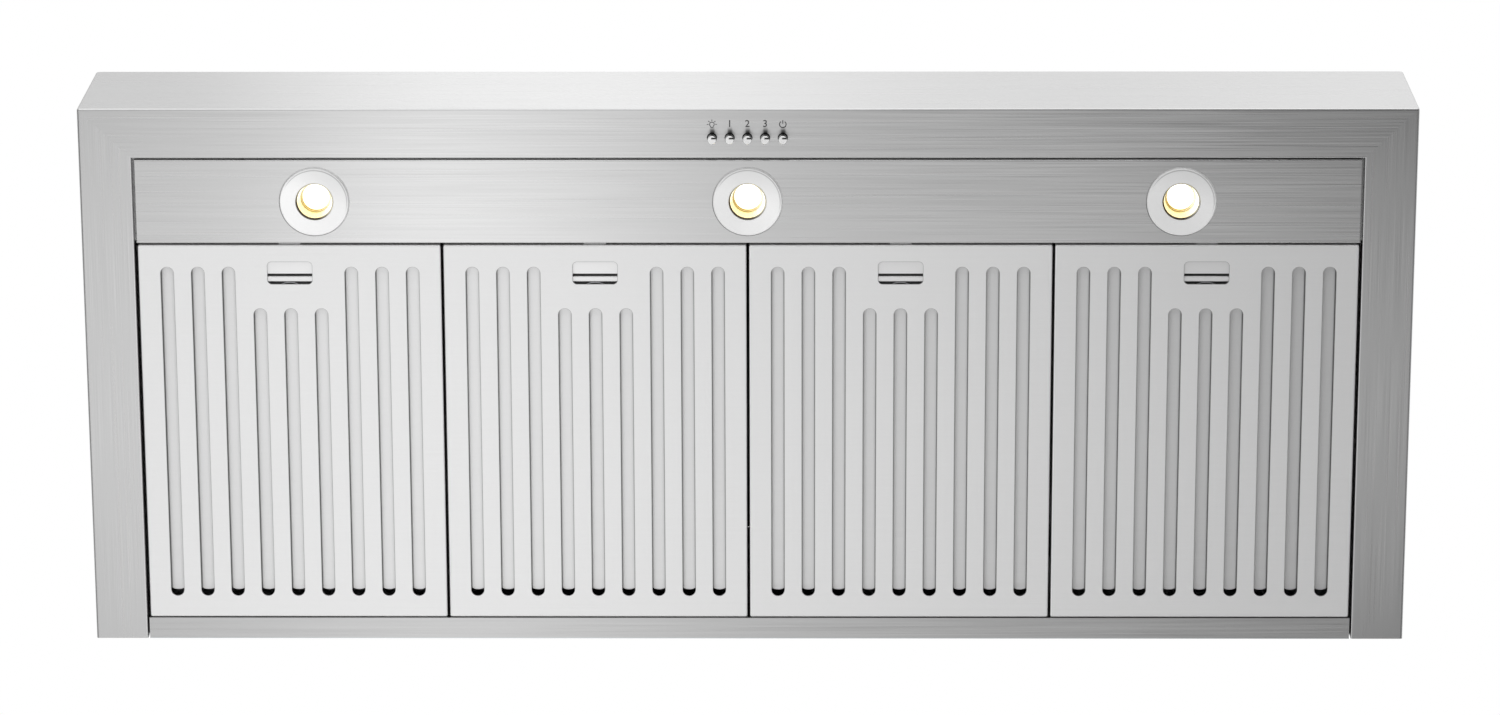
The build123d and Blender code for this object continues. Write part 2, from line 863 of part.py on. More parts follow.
# Blower housing: a scroll whose radius grows steadily, with a straight outlet neck
def scroll_point(angle):
    share = (angle - scroll_start_angle) / (360 - scroll_start_angle)
    radius = scroll_start_radius + share * (scroll_end_radius - scroll_start_radius)
    turn = math.radians(angle)
    return (fan_y + radius * math.cos(turn), fan_z + radius * math.sin(turn))


def scroll_outline(inset):
    angles = [
        scroll_start_angle + share * (360 - scroll_start_angle) / scroll_steps
        for share in range(scroll_steps + 1)
    ]
    points = [scroll_point(angle) for angle in angles]
    with BuildSketch(Plane.YZ) as outline:
        with BuildLine():
            for first in range(0, scroll_steps, 2):
                ThreePointArc(points[first], points[first + 1], points[first + 2])
            Polyline(points[-1], (neck_rear, roof_top), (neck_front, roof_top), points[0])
        make_face()
        if inset:
            offset(amount=-inset)
    return outline.sketch


with BuildPart() as blower_housing:
    extrude(to_extrude=scroll_outline(0), amount=scroll_half, both=True)
    with Locations((0, duct_y, roof_top)):
        Box(
            2 * (scroll_half + scroll_flange),
            neck_rear - neck_front + 2 * scroll_flange,
            scroll_sheet,
            align=(Align.CENTER, Align.CENTER, Align.MAX),
        )
    extrude(
        to_extrude=scroll_outline(scroll_sheet),
        amount=scroll_half - scroll_sheet,
        both=True,
        mode=Mode.SUBTRACT,
    )
    with Locations((0, duct_y, roof_top)):
        Box(
            2 * (scroll_half - scroll_sheet),
            neck_rear - neck_front - 2 * scroll_sheet,
            4 * scroll_sheet,
            mode=Mode.SUBTRACT,
        )
    with BuildSketch(Plane.YZ):
        with Locations((fan_y, fan_z)):
            Circle(inlet_hole_radius)
    extrude(amount=scroll_half, both=True, mode=Mode.SUBTRACT)
save(blower_housing, "blower_housing")


# Inlet ring: a sloped mouth on each side of the housing
def make_inlet_ring(side, name):
    section = Plane(origin=(0, fan_y, fan_z), x_dir=(side, 0, 0), z_dir=(0, 0, side))
    throat_out = inlet_throat_radius + inlet_sheet
    bend_setback = inlet_sheet * math.tan(math.radians(22.5))
    with BuildPart() as ring:
        with BuildSketch(section):
            with BuildLine():
                Polyline(
                    (cradle_x, throat_out + inlet_slope + inlet_flange),
                    (cradle_x, inlet_throat_radius + inlet_slope),
                    (cradle_x - inlet_slope, inlet_throat_radius),
                    (cradle_x - inlet_slope - inlet_lip, inlet_throat_radius),
                    (cradle_x - inlet_slope - inlet_lip, throat_out),
                    (cradle_x - inlet_slope - bend_setback, throat_out),
                    (scroll_half, inlet_throat_radius + inlet_slope + bend_setback),
                    (scroll_half, throat_out + inlet_slope + inlet_flange),
                    close=True,
                )
            make_face()
        revolve(axis=Axis((0, fan_y, fan_z), (1, 0, 0)))
    save(ring, name)


make_inlet_ring(-1, "inlet_ring_left")
make_inlet_ring(1, "inlet_ring_right")

# Impeller: forward-bent blades on a centre disc, closed by a ring at each end
def wheel_point(radius, angle):
    turn = math.radians(angle)
    return (fan_y + radius * math.cos(turn), fan_z + radius * math.sin(turn))


def blade_points(turn):
    half = math.degrees(blade_sheet / 2 / blade_mid_radius)
    spine = (
        (wheel_inner_radius, turn),
        (blade_mid_radius, turn + blade_mid_lead),
        (blade_tip_radius, turn + blade_lead),
    )
    near_side = [wheel_point(radius, angle - half) for radius, angle in spine]
    far_side = [wheel_point(radius, angle + half) for radius, angle in reversed(spine)]
    return near_side + far_side


with BuildPart() as impeller:
    with BuildSketch(Plane.YZ):
        for blade in range(blade_count):
            with BuildLine():
                Polyline(*blade_points(360 * blade / blade_count), close=True)
            make_face()
    extrude(amount=wheel_width / 2, both=True)
    with BuildSketch(Plane.YZ):
        with Locations((fan_y, fan_z)):
            Circle(wheel_radius)
    extrude(amount=wheel_plate / 2, both=True)
    for ring_x in (-wheel_width / 2, wheel_width / 2 - wheel_plate):
        with BuildSketch(Plane.YZ.offset(ring_x)):
            with Locations((fan_y, fan_z)):
                Circle(wheel_radius)
                Circle(wheel_radius - wheel_ring, mode=Mode.SUBTRACT)
        extrude(amount=wheel_plate)
    with BuildSketch(Plane.YZ):
        with Locations((fan_y, fan_z)):
            Circle(hub_radius)
    extrude(amount=hub_length / 2, both=True)
    with BuildSketch(Plane.YZ):
        with Locations((fan_y, fan_z)):
            Circle(shaft_radius + shaft_gap)
    extrude(amount=hub_length / 2, both=True, mode=Mode.SUBTRACT)
save(impeller, "impeller")

# Motor shaft
with BuildPart() as motor_shaft:
    with BuildSketch(Plane.YZ.offset(-hub_length / 2)):
        with Locations((fan_y, fan_z)):
            Circle(shaft_radius)
    extrude(amount=hub_length / 2 + motor_from_wheel + shaft_in_motor)
save(motor_shaft, "motor_shaft")

# Motor: a can with a bell at each end and a blind bore for the shaft
with BuildPart() as motor:
    with BuildSketch(Plane.YZ.offset(motor_from_wheel)):
        with Locations((fan_y, fan_z)):
            Circle(motor_bell_radius)
    extrude(amount=motor_length)
    with BuildSketch(Plane.YZ.offset(motor_from_wheel + motor_bell)):
        with Locations((fan_y, fan_z)):
            Circle(motor_radius)
    extrude(amount=motor_length - 2 * motor_bell)
    with BuildSketch(Plane.YZ.offset(motor_from_wheel)):
        with Locations((fan_y, fan_z)):
            Circle(shaft_radius + shaft_gap)
    extrude(amount=shaft_in_motor + seat_gap, mode=Mode.SUBTRACT)
save(motor, "motor")

# Motor cradle: a clamp ring with three arms on the right inlet ring
with BuildPart() as motor_cradle:
    with BuildSketch(Plane.YZ.offset(cradle_x)):
        with Locations((fan_y, fan_z)):
            Circle(motor_radius + seat_gap + cradle_clamp)
            with PolarLocations(0, cradle_arm_count, start_angle=90):
                Rectangle(cradle_reach, cradle_arm, align=(Align.MIN, Align.CENTER))
            Circle(motor_radius + seat_gap, mode=Mode.SUBTRACT)
    extrude(amount=cradle_sheet)
    with BuildSketch(Plane.YZ.offset(cradle_x)):
        with Locations((fan_y, fan_z)):
            Circle(motor_radius + seat_gap + cradle_clamp)
            Circle(motor_radius + seat_gap, mode=Mode.SUBTRACT)
    extrude(amount=cradle_clamp_length)
save(motor_cradle, "motor_cradle")

# Blower deck: the plate on the crown that carries the blower and the duct collar
with BuildPart() as blower_deck:
    with BuildSketch(Plane.XY.offset(roof_top)):
        with Locations((0, -chimney_depth + sheet + deck_gap)):
            Rectangle(
                chimney_width - 2 * (sheet + deck_gap),
                chimney_depth - 2 * sheet - 2 * deck_gap,
                align=(Align.CENTER, Align.MIN),
            )
        with Locations((0, duct_y)):
            Circle(collar_radius - collar_wall, mode=Mode.SUBTRACT)
        with Locations((gland_x, -gland_from_wall)):
            Circle(gland_bore_radius, mode=Mode.SUBTRACT)
    extrude(amount=deck_sheet)
save(blower_deck, "blower_deck")

# Duct collar: a flanged tube with an inner ledge and the flaps' pin holes
with BuildPart() as damper_collar:
    with BuildSketch(Plane.XY.offset(deck_top)):
        with Locations((0, duct_y)):
            Circle(collar_radius)
            Circle(collar_radius - collar_wall, mode=Mode.SUBTRACT)
    extrude(amount=collar_height)
    with BuildSketch(Plane.XY.offset(deck_top)):
        with Locations((0, duct_y)):
            Circle(collar_radius + collar_flange)
            Circle(collar_radius - collar_wall, mode=Mode.SUBTRACT)
    extrude(amount=collar_wall)
    with BuildSketch(Plane.XY.offset(deck_top + flap_ledge_height)):
        with Locations((0, duct_y)):
            Circle(collar_radius)
            Circle(collar_radius - collar_wall - flap_ledge, mode=Mode.SUBTRACT)
    extrude(amount=collar_wall)
    with BuildSketch(Plane.XZ.offset(-duct_y)):
        with Locations((-flap_pin_offset, flap_pin_z), (flap_pin_offset, flap_pin_z)):
            Circle(flap_pin_radius + shaft_gap)
    extrude(amount=collar_radius, both=True, mode=Mode.SUBTRACT)
save(damper_collar, "damper_collar")


# Damper flap: half a disc on a rod that turns in the collar
def make_flap(side, name):
    with BuildPart() as flap:
        with BuildSketch(Plane.XY.offset(flap_z)):
            with Locations((0, duct_y)):
                Circle(collar_radius - collar_wall - flap_gap)
            with Locations((side * (flap_middle_gap + collar_radius / 2), duct_y)):
                Rectangle(collar_radius, 2 * collar_radius, mode=Mode.INTERSECT)
        extrude(amount=flap_sheet)
        with BuildSketch(Plane.XZ.offset(-duct_y)):
            with Locations((side * flap_pin_offset, flap_pin_z)):
                Circle(flap_pin_radius)
        extrude(amount=collar_radius - seat_gap, both=True)
    save(flap, name)


make_flap(-1, "damper_flap_left")
make_flap(1, "damper_flap_right")

# Cable gland in the deck
with BuildPart() as cable_gland:
    with BuildSketch(Plane.XY.offset(deck_top)):
        with Locations((gland_x, -gland_from_wall)):
            RegularPolygon(gland_flange_radius, 6)
    extrude(amount=gland_flange)
    with BuildSketch(Plane.XY.offset(deck_top + gland_flange)):
        with Locations((gland_x, -gland_from_wall)):
            Circle(gland_radius)
    extrude(amount=gland_height - gland_flange)
    with BuildSketch(Plane.XY.offset(deck_top)):
        with Locations((gland_x, -gland_from_wall)):
            Circle(gland_bore_radius)
    extrude(amount=gland_height, mode=Mode.SUBTRACT)
save(cable_gland, "cable_gland")

# Control box on the back panel, open to the front
with BuildPart() as control_box:
    with Locations((control_x, -sheet, control_z)):
        Box(
            control_width,
            control_depth,
            control_height,
            align=(Align.CENTER, Align.MAX, Align.MIN),
        )
    with Locations((control_x, -sheet - control_sheet, control_z + control_sheet)):
        Box(
            control_width - 2 * control_sheet,
            control_depth - control_sheet,
            control_height - 2 * control_sheet,
            align=(Align.CENTER, Align.MAX, Align.MIN),
            mode=Mode.SUBTRACT,
        )
save(control_box, "control_box")

# Control box cover: a plate with a lip that fits inside the box
with BuildPart() as control_box_cover:
    with BuildSketch(Plane.XZ.offset(sheet + control_depth)):
        with Locations((control_x, control_mid_z)):
            Rectangle(control_width, control_height)
    extrude(amount=control_sheet)
    with BuildSketch(Plane.XZ.offset(sheet + control_depth)):
        with Locations((control_x, control_mid_z)):
            Rectangle(
                control_width - 2 * (control_sheet + seat_gap),
                control_height - 2 * (control_sheet + seat_gap),
            )
            Rectangle(
                control_width - 2 * (2 * control_sheet + seat_gap),
                control_height - 2 * (2 * control_sheet + seat_gap),
                mode=Mode.SUBTRACT,
            )
    extrude(amount=-cover_lip)
save(control_box_cover, "control_box_cover")

# Terminal block on the box's back wall, with a bore for each wire
with BuildPart() as terminal_block:
    with Locations((control_left + driver_width / 2, -sheet - control_sheet, terminal_z)):
        Box(
            terminal_width,
            terminal_depth,
            terminal_height,
            align=(Align.CENTER, Align.MAX, Align.MIN),
        )
    with BuildSketch(Plane.XZ.offset(sheet + control_sheet + terminal_depth)):
        with Locations((control_left + driver_width / 2, terminal_z + terminal_height / 2)):
            with GridLocations(terminal_width / terminal_ways, 1, terminal_ways, 1):
                Circle(terminal_bore_radius)
    extrude(amount=-terminal_bore_depth, mode=Mode.SUBTRACT)
save(terminal_block, "terminal_block")

# Lamp driver on the box's floor
with BuildPart() as led_driver:
    with Locations((control_left, -sheet - control_sheet, control_z + control_sheet)):
        Box(driver_width, driver_depth, driver_height, align=(Align.MIN, Align.MAX, Align.MIN))
    fillet(led_driver.edges().filter_by(Axis.Z), driver_corner_radius)
save(led_driver, "led_driver")

# Motor capacitor standing on the box's floor
with BuildPart() as run_capacitor:
    with BuildSketch(Plane.XY.offset(control_z + control_sheet)):
        with Locations((capacitor_x, -sheet - control_depth / 2)):
            Circle(capacitor_radius)
    extrude(amount=capacitor_height)
save(run_capacitor, "run_capacitor")


# Chimney covers: folded sheets open to the wall, the upper one sliding in the lower one
with BuildPart() as chimney_lower:
    with BuildSketch(Plane.XY.offset(roof_top)) as lower_section:
        Rectangle(chimney_width, chimney_depth, align=(Align.CENTER, Align.MAX))
        fillet(lower_section.vertices().group_by(Axis.Y)[0], chimney_corner_radius)
        with Locations((0, -sheet)):
            Rectangle(
                chimney_width - 2 * sheet,
                chimney_depth - 2 * sheet,
                align=(Align.CENTER, Align.MAX),
                mode=Mode.SUBTRACT,
            )
        Rectangle(
            chimney_width - 2 * chimney_return,
            2 * sheet,
            align=(Align.CENTER, Align.MAX),
            mode=Mode.SUBTRACT,
        )
    extrude(amount=chimney_lower_height)
save(chimney_lower, "chimney_lower")

with BuildPart() as chimney_upper:
    with BuildSketch(Plane.XY.offset(chimney_upper_bottom)) as upper_section:
        with Locations((0, -upper_inset)):
            Rectangle(
                chimney_width - 2 * upper_inset,
                chimney_depth - 2 * upper_inset,
                align=(Align.CENTER, Align.MAX),
            )
        fillet(upper_section.vertices().group_by(Axis.Y)[0], chimney_corner_radius)
        with Locations((0, -upper_inset)):
            Rectangle(
                chimney_width - 2 * (upper_inset + sheet),
                chimney_depth - 2 * upper_inset - sheet,
                align=(Align.CENTER, Align.MAX),
                mode=Mode.SUBTRACT,
            )
    extrude(amount=chimney_upper_height)
save(chimney_upper, "chimney_upper")

# Chimney wall bracket: a strip on the wall with an arm inside each side of the upper cover
with BuildPart() as chimney_bracket:
    with BuildSketch(Plane.XZ):
        with Locations((0, chimney_upper_top - bracket_below_top)):
            Rectangle(
                chimney_width - 2 * (upper_inset + sheet),
                bracket_height,
                align=(Align.CENTER, Align.MAX),
            )
        with Locations(
            (-bracket_screw_spacing / 2, bracket_screw_z), (bracket_screw_spacing / 2, bracket_screw_z)
        ):
            Circle(bracket_screw_radius, mode=Mode.SUBTRACT)
    extrude(amount=bracket_wall_sheet)
    arm_x = chimney_width / 2 - upper_inset - sheet - bracket_wall_sheet / 2
    with Locations((-arm_x, 0, bracket_screw_z), (arm_x, 0, bracket_screw_z)):
        Box(
            bracket_wall_sheet,
            bracket_arm,
            bracket_height,
            align=(Align.CENTER, Align.MAX, Align.CENTER),
        )
save(chimney_bracket, "chimney_bracket")

# Chimney feet: two angles on the deck that hold the lower cover's sides
with BuildPart() as chimney_feet:
    for side in (-1, 1):
        inner_face = side * (chimney_width / 2 - sheet)
        inward = Align.MAX if side > 0 else Align.MIN
        with Locations((inner_face, duct_y, deck_top)):
            Box(
                sheet,
                foot_length,
                foot_height,
                align=(inward, Align.CENTER, Align.MIN),
            )
            Box(
                foot_width,
                foot_length,
                sheet,
                align=(inward, Align.CENTER, Align.MIN),
            )
save(chimney_feet, "chimney_feet")
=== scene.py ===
# %% [markdown]
# # A wall mount range hood
# This lesson dresses a finished CAD model of a range hood in Blender. The model comes in as a
# fixed frame: its nodes keep their shape and place, and every new piece rides on one of its
# moving bodies. The hood is seen from below, as it hangs over a cooker.

# %% Load the frame
import math

import bmesh
import bpy
from mathutils import Matrix, Vector


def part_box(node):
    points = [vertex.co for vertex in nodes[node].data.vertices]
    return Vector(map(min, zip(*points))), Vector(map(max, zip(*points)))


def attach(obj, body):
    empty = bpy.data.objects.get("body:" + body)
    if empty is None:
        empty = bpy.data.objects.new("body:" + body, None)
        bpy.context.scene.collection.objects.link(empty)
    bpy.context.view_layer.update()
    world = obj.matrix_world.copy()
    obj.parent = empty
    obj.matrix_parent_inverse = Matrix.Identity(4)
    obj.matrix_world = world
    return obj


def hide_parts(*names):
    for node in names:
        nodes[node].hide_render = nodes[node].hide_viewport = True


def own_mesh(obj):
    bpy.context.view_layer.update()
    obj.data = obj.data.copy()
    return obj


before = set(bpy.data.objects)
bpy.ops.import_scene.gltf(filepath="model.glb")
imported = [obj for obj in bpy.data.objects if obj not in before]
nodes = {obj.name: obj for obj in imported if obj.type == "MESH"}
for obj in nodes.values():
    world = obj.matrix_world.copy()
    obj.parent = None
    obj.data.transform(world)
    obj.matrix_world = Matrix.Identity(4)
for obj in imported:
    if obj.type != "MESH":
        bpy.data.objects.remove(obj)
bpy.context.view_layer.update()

# %% [markdown]
# ## Camera
# The camera stands in front of the hood and well below it, and looks up and back. From close by
# the near edge would look much longer than the far one. A long lens from nearly five metres
# keeps the sides almost parallel, as in a catalogue picture.

# %% Camera
camera_data = bpy.data.cameras.new("camera")
camera_data.sensor_width = 36.0
camera_data.lens = 130.084
camera_data.clip_end = 60.0
camera = bpy.data.objects.new("camera", camera_data)
camera.location = (0.05212, -1.68796, -4.77898)
camera.rotation_euler = [math.radians(turn) for turn in (163.5121, -0.5569, 0.1566)]
bpy.context.scene.collection.objects.link(camera)
bpy.context.scene.camera = camera
bpy.context.scene.view_settings.view_transform = "Standard"
print("lens:", round(camera_data.lens, 1))

# %% [markdown]
# ## Shader arithmetic
# A finish could be a web of nodes, set one by one, but the sum that they make is hard to see. As
# a formula it is easy to read. So one small class stands for a shader socket and turns Python's
# operators into Math nodes, with their reflected forms, so that 1 - mask works.

# %% Shader values
class Value:
    """One output socket of a finish, for use in Python arithmetic."""

    def __init__(self, finish, socket):
        self.finish = finish
        self.socket = socket

    def math(self, operation, first, second):
        return self.finish.math(operation, first, second)

    def __add__(self, other):
        return self.math("ADD", self, other)

    def __radd__(self, other):
        return self.math("ADD", other, self)

    def __sub__(self, other):
        return self.math("SUBTRACT", self, other)

    def __rsub__(self, other):
        return self.math("SUBTRACT", other, self)

    def __mul__(self, other):
        return self.math("MULTIPLY", self, other)

    def __rmul__(self, other):
        return self.math("MULTIPLY", other, self)

    def __gt__(self, other):
        return self.math("GREATER_THAN", self, other)

    def __lt__(self, other):
        return self.math("LESS_THAN", self, other)


print("a shader value knows + - * > <")

# %% [markdown]
# ## Materials
# A material is made of nodes, their settings and their links, which takes many lines for each
# finish. Here a class makes the material, and one method adds any node in one call, with its
# settings first and its inputs after them. What several finishes share is a method too.

# %% Materials
def set_stops(ramp, stops):
    while len(ramp.elements) < len(stops):
        ramp.elements.new(1.0)
    for element, (place, color) in zip(ramp.elements, stops):
        element.position = place
        element.color = color


class Finish:
    """A material with its node tree."""

    def __init__(self, name):
        self.material = bpy.data.materials.new(name)
        self.material.use_nodes = True
        self.tree = self.material.node_tree
        self.tree.nodes.clear()

    def node(self, kind, settings=None, inputs=None, output=0):
        made = self.tree.nodes.new("ShaderNode" + kind)
        for key, setting in (settings or {}).items():
            if key == "stops":
                set_stops(made.color_ramp, setting)
            else:
                setattr(made, key, setting)
        for key, given in (inputs or {}).items():
            if isinstance(given, Value):
                self.tree.links.new(given.socket, made.inputs[key])
            else:
                made.inputs[key].default_value = given
        return Value(self, made.outputs[output])

    def math(self, operation, *given):
        return self.node("Math", {"operation": operation}, dict(enumerate(given)))

    def absolute(self, value):
        return self.math("ABSOLUTE", value)

    def larger(self, first, second):
        return self.math("MAXIMUM", first, second)

    def smaller(self, first, second):
        return self.math("MINIMUM", first, second)

    def length(self, first, second):
        return self.math("SQRT", first * first + second * second)

    def nearest_multiple(self, value, step):
        """How far a value lies past the nearest whole multiple of step, with its sign."""
        return value - self.math("ROUND", value * (1.0 / step)) * step

    def soft_step(self, value, zero_at, one_at):
        """0 at zero_at and 1 at one_at, with a smooth rise between them."""
        settings = {"interpolation_type": "SMOOTHSTEP"}
        return self.node("MapRange", settings, {0: value, 1: zero_at, 2: one_at, 3: 0.0, 4: 1.0})

    def vector(self, operation, first, second):
        return self.node("VectorMath", {"operation": operation}, {0: first, 1: second})

    def axis(self, vector, letter):
        return self.node("SeparateXYZ", inputs={0: vector}, output=letter)

    def position(self):
        return self.node("TexCoord", output="Object")

    def facing(self):
        return self.node("NewGeometry", output="Normal")

    def noise(self, stretch, detail=2.0, output="Fac"):
        stretched = self.vector("MULTIPLY", self.position(), stretch)
        inputs = {"Vector": stretched, "Scale": 1.0, "Detail": detail}
        return self.node("TexNoise", None, inputs, output)

    def blend_colors(self, factor, first, second):
        return self.node("Mix", {"data_type": "RGBA"}, {0: factor, 6: first, 7: second}, 2)

    def blend_vectors(self, factor, first, second):
        return self.node("Mix", {"data_type": "VECTOR"}, {0: factor, 4: first, 5: second}, 1)

    def surface(self, **inputs):
        named = {key.replace("_", " "): given for key, given in inputs.items()}
        return self.shown(self.node("BsdfPrincipled", None, named))

    def shown(self, shader):
        """Link a shader to the material's output, and give the material back."""
        out = self.tree.nodes.new("ShaderNodeOutputMaterial")
        self.tree.links.new(shader.socket, out.inputs["Surface"])
        return self.material


print("shared steps:", [name for name in vars(Finish) if not name.startswith("_")])

# %% [markdown]
# ## Brushed stainless sheet
# The canopy, chimney and light panel are brushed, mostly from side to side. A grinding belt
# leaves thousands of fine parallel grooves, so a reflection stays narrow along the grain and
# smears out across it. Anisotropy would give that smear, but it needs a tangent on every mesh.
# Here a very fine noise, stretched along the grain, tilts the surface normal across it instead.

# %% Brushed metal
grain_fine, grain_along = 2400.0, 7.0
streak_fine, streak_along = 420.0, 2.5
shade_color = (0.05, 0.05, 0.05, 1.0)


def tint_range(tint, depth):
    """A darker and a brighter colour on either side of a tint."""
    dark = tuple(part * (1.0 - depth) for part in tint) + (1.0,)
    bright = tuple(min(1.0, part * (1.0 + depth)) for part in tint) + (1.0,)
    return dark, bright


def brushed(name, tint, roughness, smear, streaks, side_grain=None, metallic=1.0, shade=None):
    finish = Finish(name)

    def tilt_by(stretch, reach):
        lean = finish.vector("SUBTRACT", finish.noise(stretch, output="Color"), (0.5, 0.5, 0.5))
        return finish.vector("MULTIPLY", lean, reach)

    tilt = tilt_by((grain_along, grain_fine, grain_fine), (0.0, smear, smear))
    streak = finish.noise((streak_along, streak_fine, streak_fine), detail=3.0)
    if side_grain is not None:
        mask = side_grain(finish)
        side_tilt = tilt_by((grain_fine, grain_along, grain_fine), (smear, 0.0, smear))
        tilt = finish.blend_vectors(mask, tilt, side_tilt)
        side_streak = finish.noise((streak_fine, streak_along, streak_fine), detail=3.0)
        streak = streak * (1.0 - mask) + side_streak * mask
    leaned = finish.vector("ADD", finish.facing(), tilt)
    normal = finish.node("VectorMath", {"operation": "NORMALIZE"}, {0: leaned})
    color = finish.blend_colors(streak, *tint_range(tint, streaks))
    # Painted shade and painted reflections: the shade mask darkens the colour towards shade_color.
    if shade is not None:
        color = finish.blend_colors(shade(finish), color, shade_color)
    rough = roughness + (streak - 0.5) * 0.05
    return finish.surface(Base_Color=color, Metallic=metallic, Roughness=rough, Normal=normal)


print("grooves per metre across and along:", grain_fine, grain_along)

# %% [markdown]
# ## Grain of the canopy
# The canopy's rim is folded from strips that meet in mitred corners, and the grain turns with
# them: it runs along X in front and towards the wall at the sides. Separate materials could do
# that, but the canopy is one mesh with one slot. So a mask picks the grain from the place and
# from the way the surface faces.

# %% Grain of the canopy
rim_side = 0.0484
rim_front = 0.0465
rim_top = 0.0015
canopy_low, canopy_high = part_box("canopy_shell")


def canopy_side_grain(finish):
    """1 where the canopy's grain runs towards the wall: its sides and the mitred side rims."""
    place = finish.position()
    from_side = (canopy_high.x - finish.absolute(finish.axis(place, "X"))) * (1.0 / rim_side)
    from_front = (finish.axis(place, "Y") - canopy_low.y) * (1.0 / rim_front)
    mitred = (from_side < from_front) * (finish.axis(place, "Z") < rim_top)
    sideways = finish.absolute(finish.axis(finish.facing(), "X")) > 0.3
    return finish.larger(mitred * (from_side < 1.05), sideways)


print("rim at the sides and in front:", rim_side, rim_front)

# %% [markdown]
# ## Streaks at the buttons
# Brushed steel smears the reflection of each button cap into a dark streak. The render's own
# reflection of so small a cap stays noisy. So the streak is drawn into the rim's colour, on the
# room's side of each cap.

# %% Streaks at the buttons
def middles(names):
    """The middles of some nodes along X and Y, from left to right."""
    boxes = [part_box(name) for name in names]
    return [((low.x + high.x) / 2, (low.y + high.y) / 2) for low, high in boxes]


cap_middles = middles([f"button_{n}" for n in range(1, 6)])
cap_xs = [x for x, y in cap_middles]
cap_y = cap_middles[0][1]
cap_pitch = cap_xs[1] - cap_xs[0]
cap_reach = 0.0034
streak_length = 0.0084


def beside_cap(finish):
    """Distance along X from the middle of the nearest button cap, with its sign."""
    x = finish.axis(finish.position(), "X")
    return (finish.math("FRACT", x * (1.0 / cap_pitch) + 10.5) - 0.5) * cap_pitch


def button_streaks(finish):
    """The smeared reflection of each button cap, along the rim and across its grain."""
    place = finish.position()
    ahead = (cap_y - cap_reach) - finish.axis(place, "Y")
    near_row = finish.absolute(finish.axis(place, "X")) < cap_pitch * 2.5
    in_row = near_row * (finish.axis(place, "Z") < 0.0004)
    across = finish.soft_step(finish.absolute(beside_cap(finish) - 0.0003), 0.0029, 0.001)
    along = finish.soft_step(ahead, streak_length, 0.0005) * (ahead > 0.0)
    return across * along * in_row * 0.92


print("button pitch:", round(cap_pitch * 1000, 2), "mm")

# %% [markdown]
# ## Edges of the filter slots
# Each filter face has nine slots, and the middle three start further back, behind the latch.
# Their rims and depths lie in shade, but a render's own shadows are soft here, because light comes
# from all round. So that shade is painted: the finish works out how far each point lies from the
# nearest slot, by one formula for all four filters.

# %% Edges of the filter slots
face_low, face_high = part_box("filter_1_face")
face_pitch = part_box("filter_2_face")[0].x - face_low.x
slot_pitch = 0.02815
slot_reach = 0.006
slot_ends = (face_low.y + 0.0207, face_high.y - 0.0328)
short_slot_start = face_low.y + 0.0602


def in_filter(finish, place):
    """Distance along X from the middle of the nearest filter, with its sign."""
    return finish.nearest_multiple(finish.axis(place, "X") - face_pitch / 2, face_pitch)


def past_slot(finish):
    """Distance outwards from the edge of the nearest slot, and below zero inside it."""
    place = finish.position()
    x = in_filter(finish, place)
    column = finish.math("ROUND", x * (1.0 / slot_pitch))
    column = finish.larger(finish.smaller(column, 4.0), -4.0)
    across = x - column * slot_pitch
    middle_three = finish.absolute(x) < slot_pitch * 1.5
    start = middle_three * (short_slot_start - slot_ends[0]) + slot_ends[0]
    y = finish.axis(place, "Y")
    beyond = finish.larger(start + slot_reach - y, y - (slot_ends[1] - slot_reach))
    return finish.length(across, finish.larger(beyond, 0.0)) - slot_reach


print("slot length:", round((slot_ends[1] - slot_ends[0]) * 1000, 1), "mm")

# %% [markdown]
# ## Shade in slots and windows
# A latch sits in a window with rounded corners, whose sheared rim is as dark as a slot's. A
# painted picture could show both, but it blurs when the camera comes near. From the distances come
# two painted shades: one for the face's rims, and one for the baffle sheet, which lies in the
# face's shadow wherever the face covers it. The face's side walls get painted shade too.

# %% Shade in slots and windows
window_half = (0.0205, 0.0106)
window_radius = 0.004
window_middle_y = face_low.y + 0.0157 + window_half[1]


def past_window(finish):
    """Distance outwards from the edge of the nearest latch window."""
    place = finish.position()
    across = finish.absolute(in_filter(finish, place))
    along = finish.absolute(finish.axis(place, "Y") - window_middle_y)
    past_x = finish.larger(across - (window_half[0] - window_radius), 0.0)
    past_y = finish.larger(along - (window_half[1] - window_radius), 0.0)
    return finish.length(past_x, past_y) - window_radius


def face_shade(finish):
    """Painted shade: the sheared rims of slots and window catch no light, nor do the filter's side
    walls.
    """
    past = finish.smaller(past_slot(finish), past_window(finish))
    rim = finish.soft_step(past, 0.0005, 0.0001) * 0.55
    sideways = finish.absolute(finish.axis(finish.facing(), "X"))
    return finish.larger(rim, finish.soft_step(sideways, 0.6, 0.9) * 0.95)


def slot_shadow(finish):
    """Painted shadow of the face on the baffle sheet, wherever the face covers it."""
    return finish.soft_step(past_slot(finish), -0.0013, 0.0003) * 0.85


print("latch window:", [round(2000 * half, 1) for half in window_half], "mm")

# %% [markdown]
# ## The five brushed steels
# The sheets in sight are stainless steel, but ground in different ways: the canopy and the light
# panel are shiny, the rail is duller, and the filters are pale and almost matt. One steel for
# all would be simpler but false, so each kind gets its own tint, roughness and smear.

# %% Five brushed steels
steel = (0.64, 0.64, 0.64)
canopy_steel = brushed(
    "canopy_steel", steel, 0.28, 0.36, 0.02, canopy_side_grain, shade=button_streaks
)
panel_steel = brushed("panel_steel", steel, 0.28, 0.36, 0.02)
rail_steel = brushed("rail_steel", (0.58, 0.58, 0.58), 0.38, 0.5, 0.03)
filter_steel = brushed(
    "filter_steel", (0.92, 0.92, 0.92), 0.5, 0.4, 0.012, metallic=0.45, shade=face_shade
)
baffle_steel = brushed(
    "baffle_steel", (0.88, 0.88, 0.88), 0.45, 0.4, 0.015, metallic=0.7, shade=slot_shadow
)
print("brushed finishes:", canopy_steel.name, panel_steel.name, filter_steel.name)

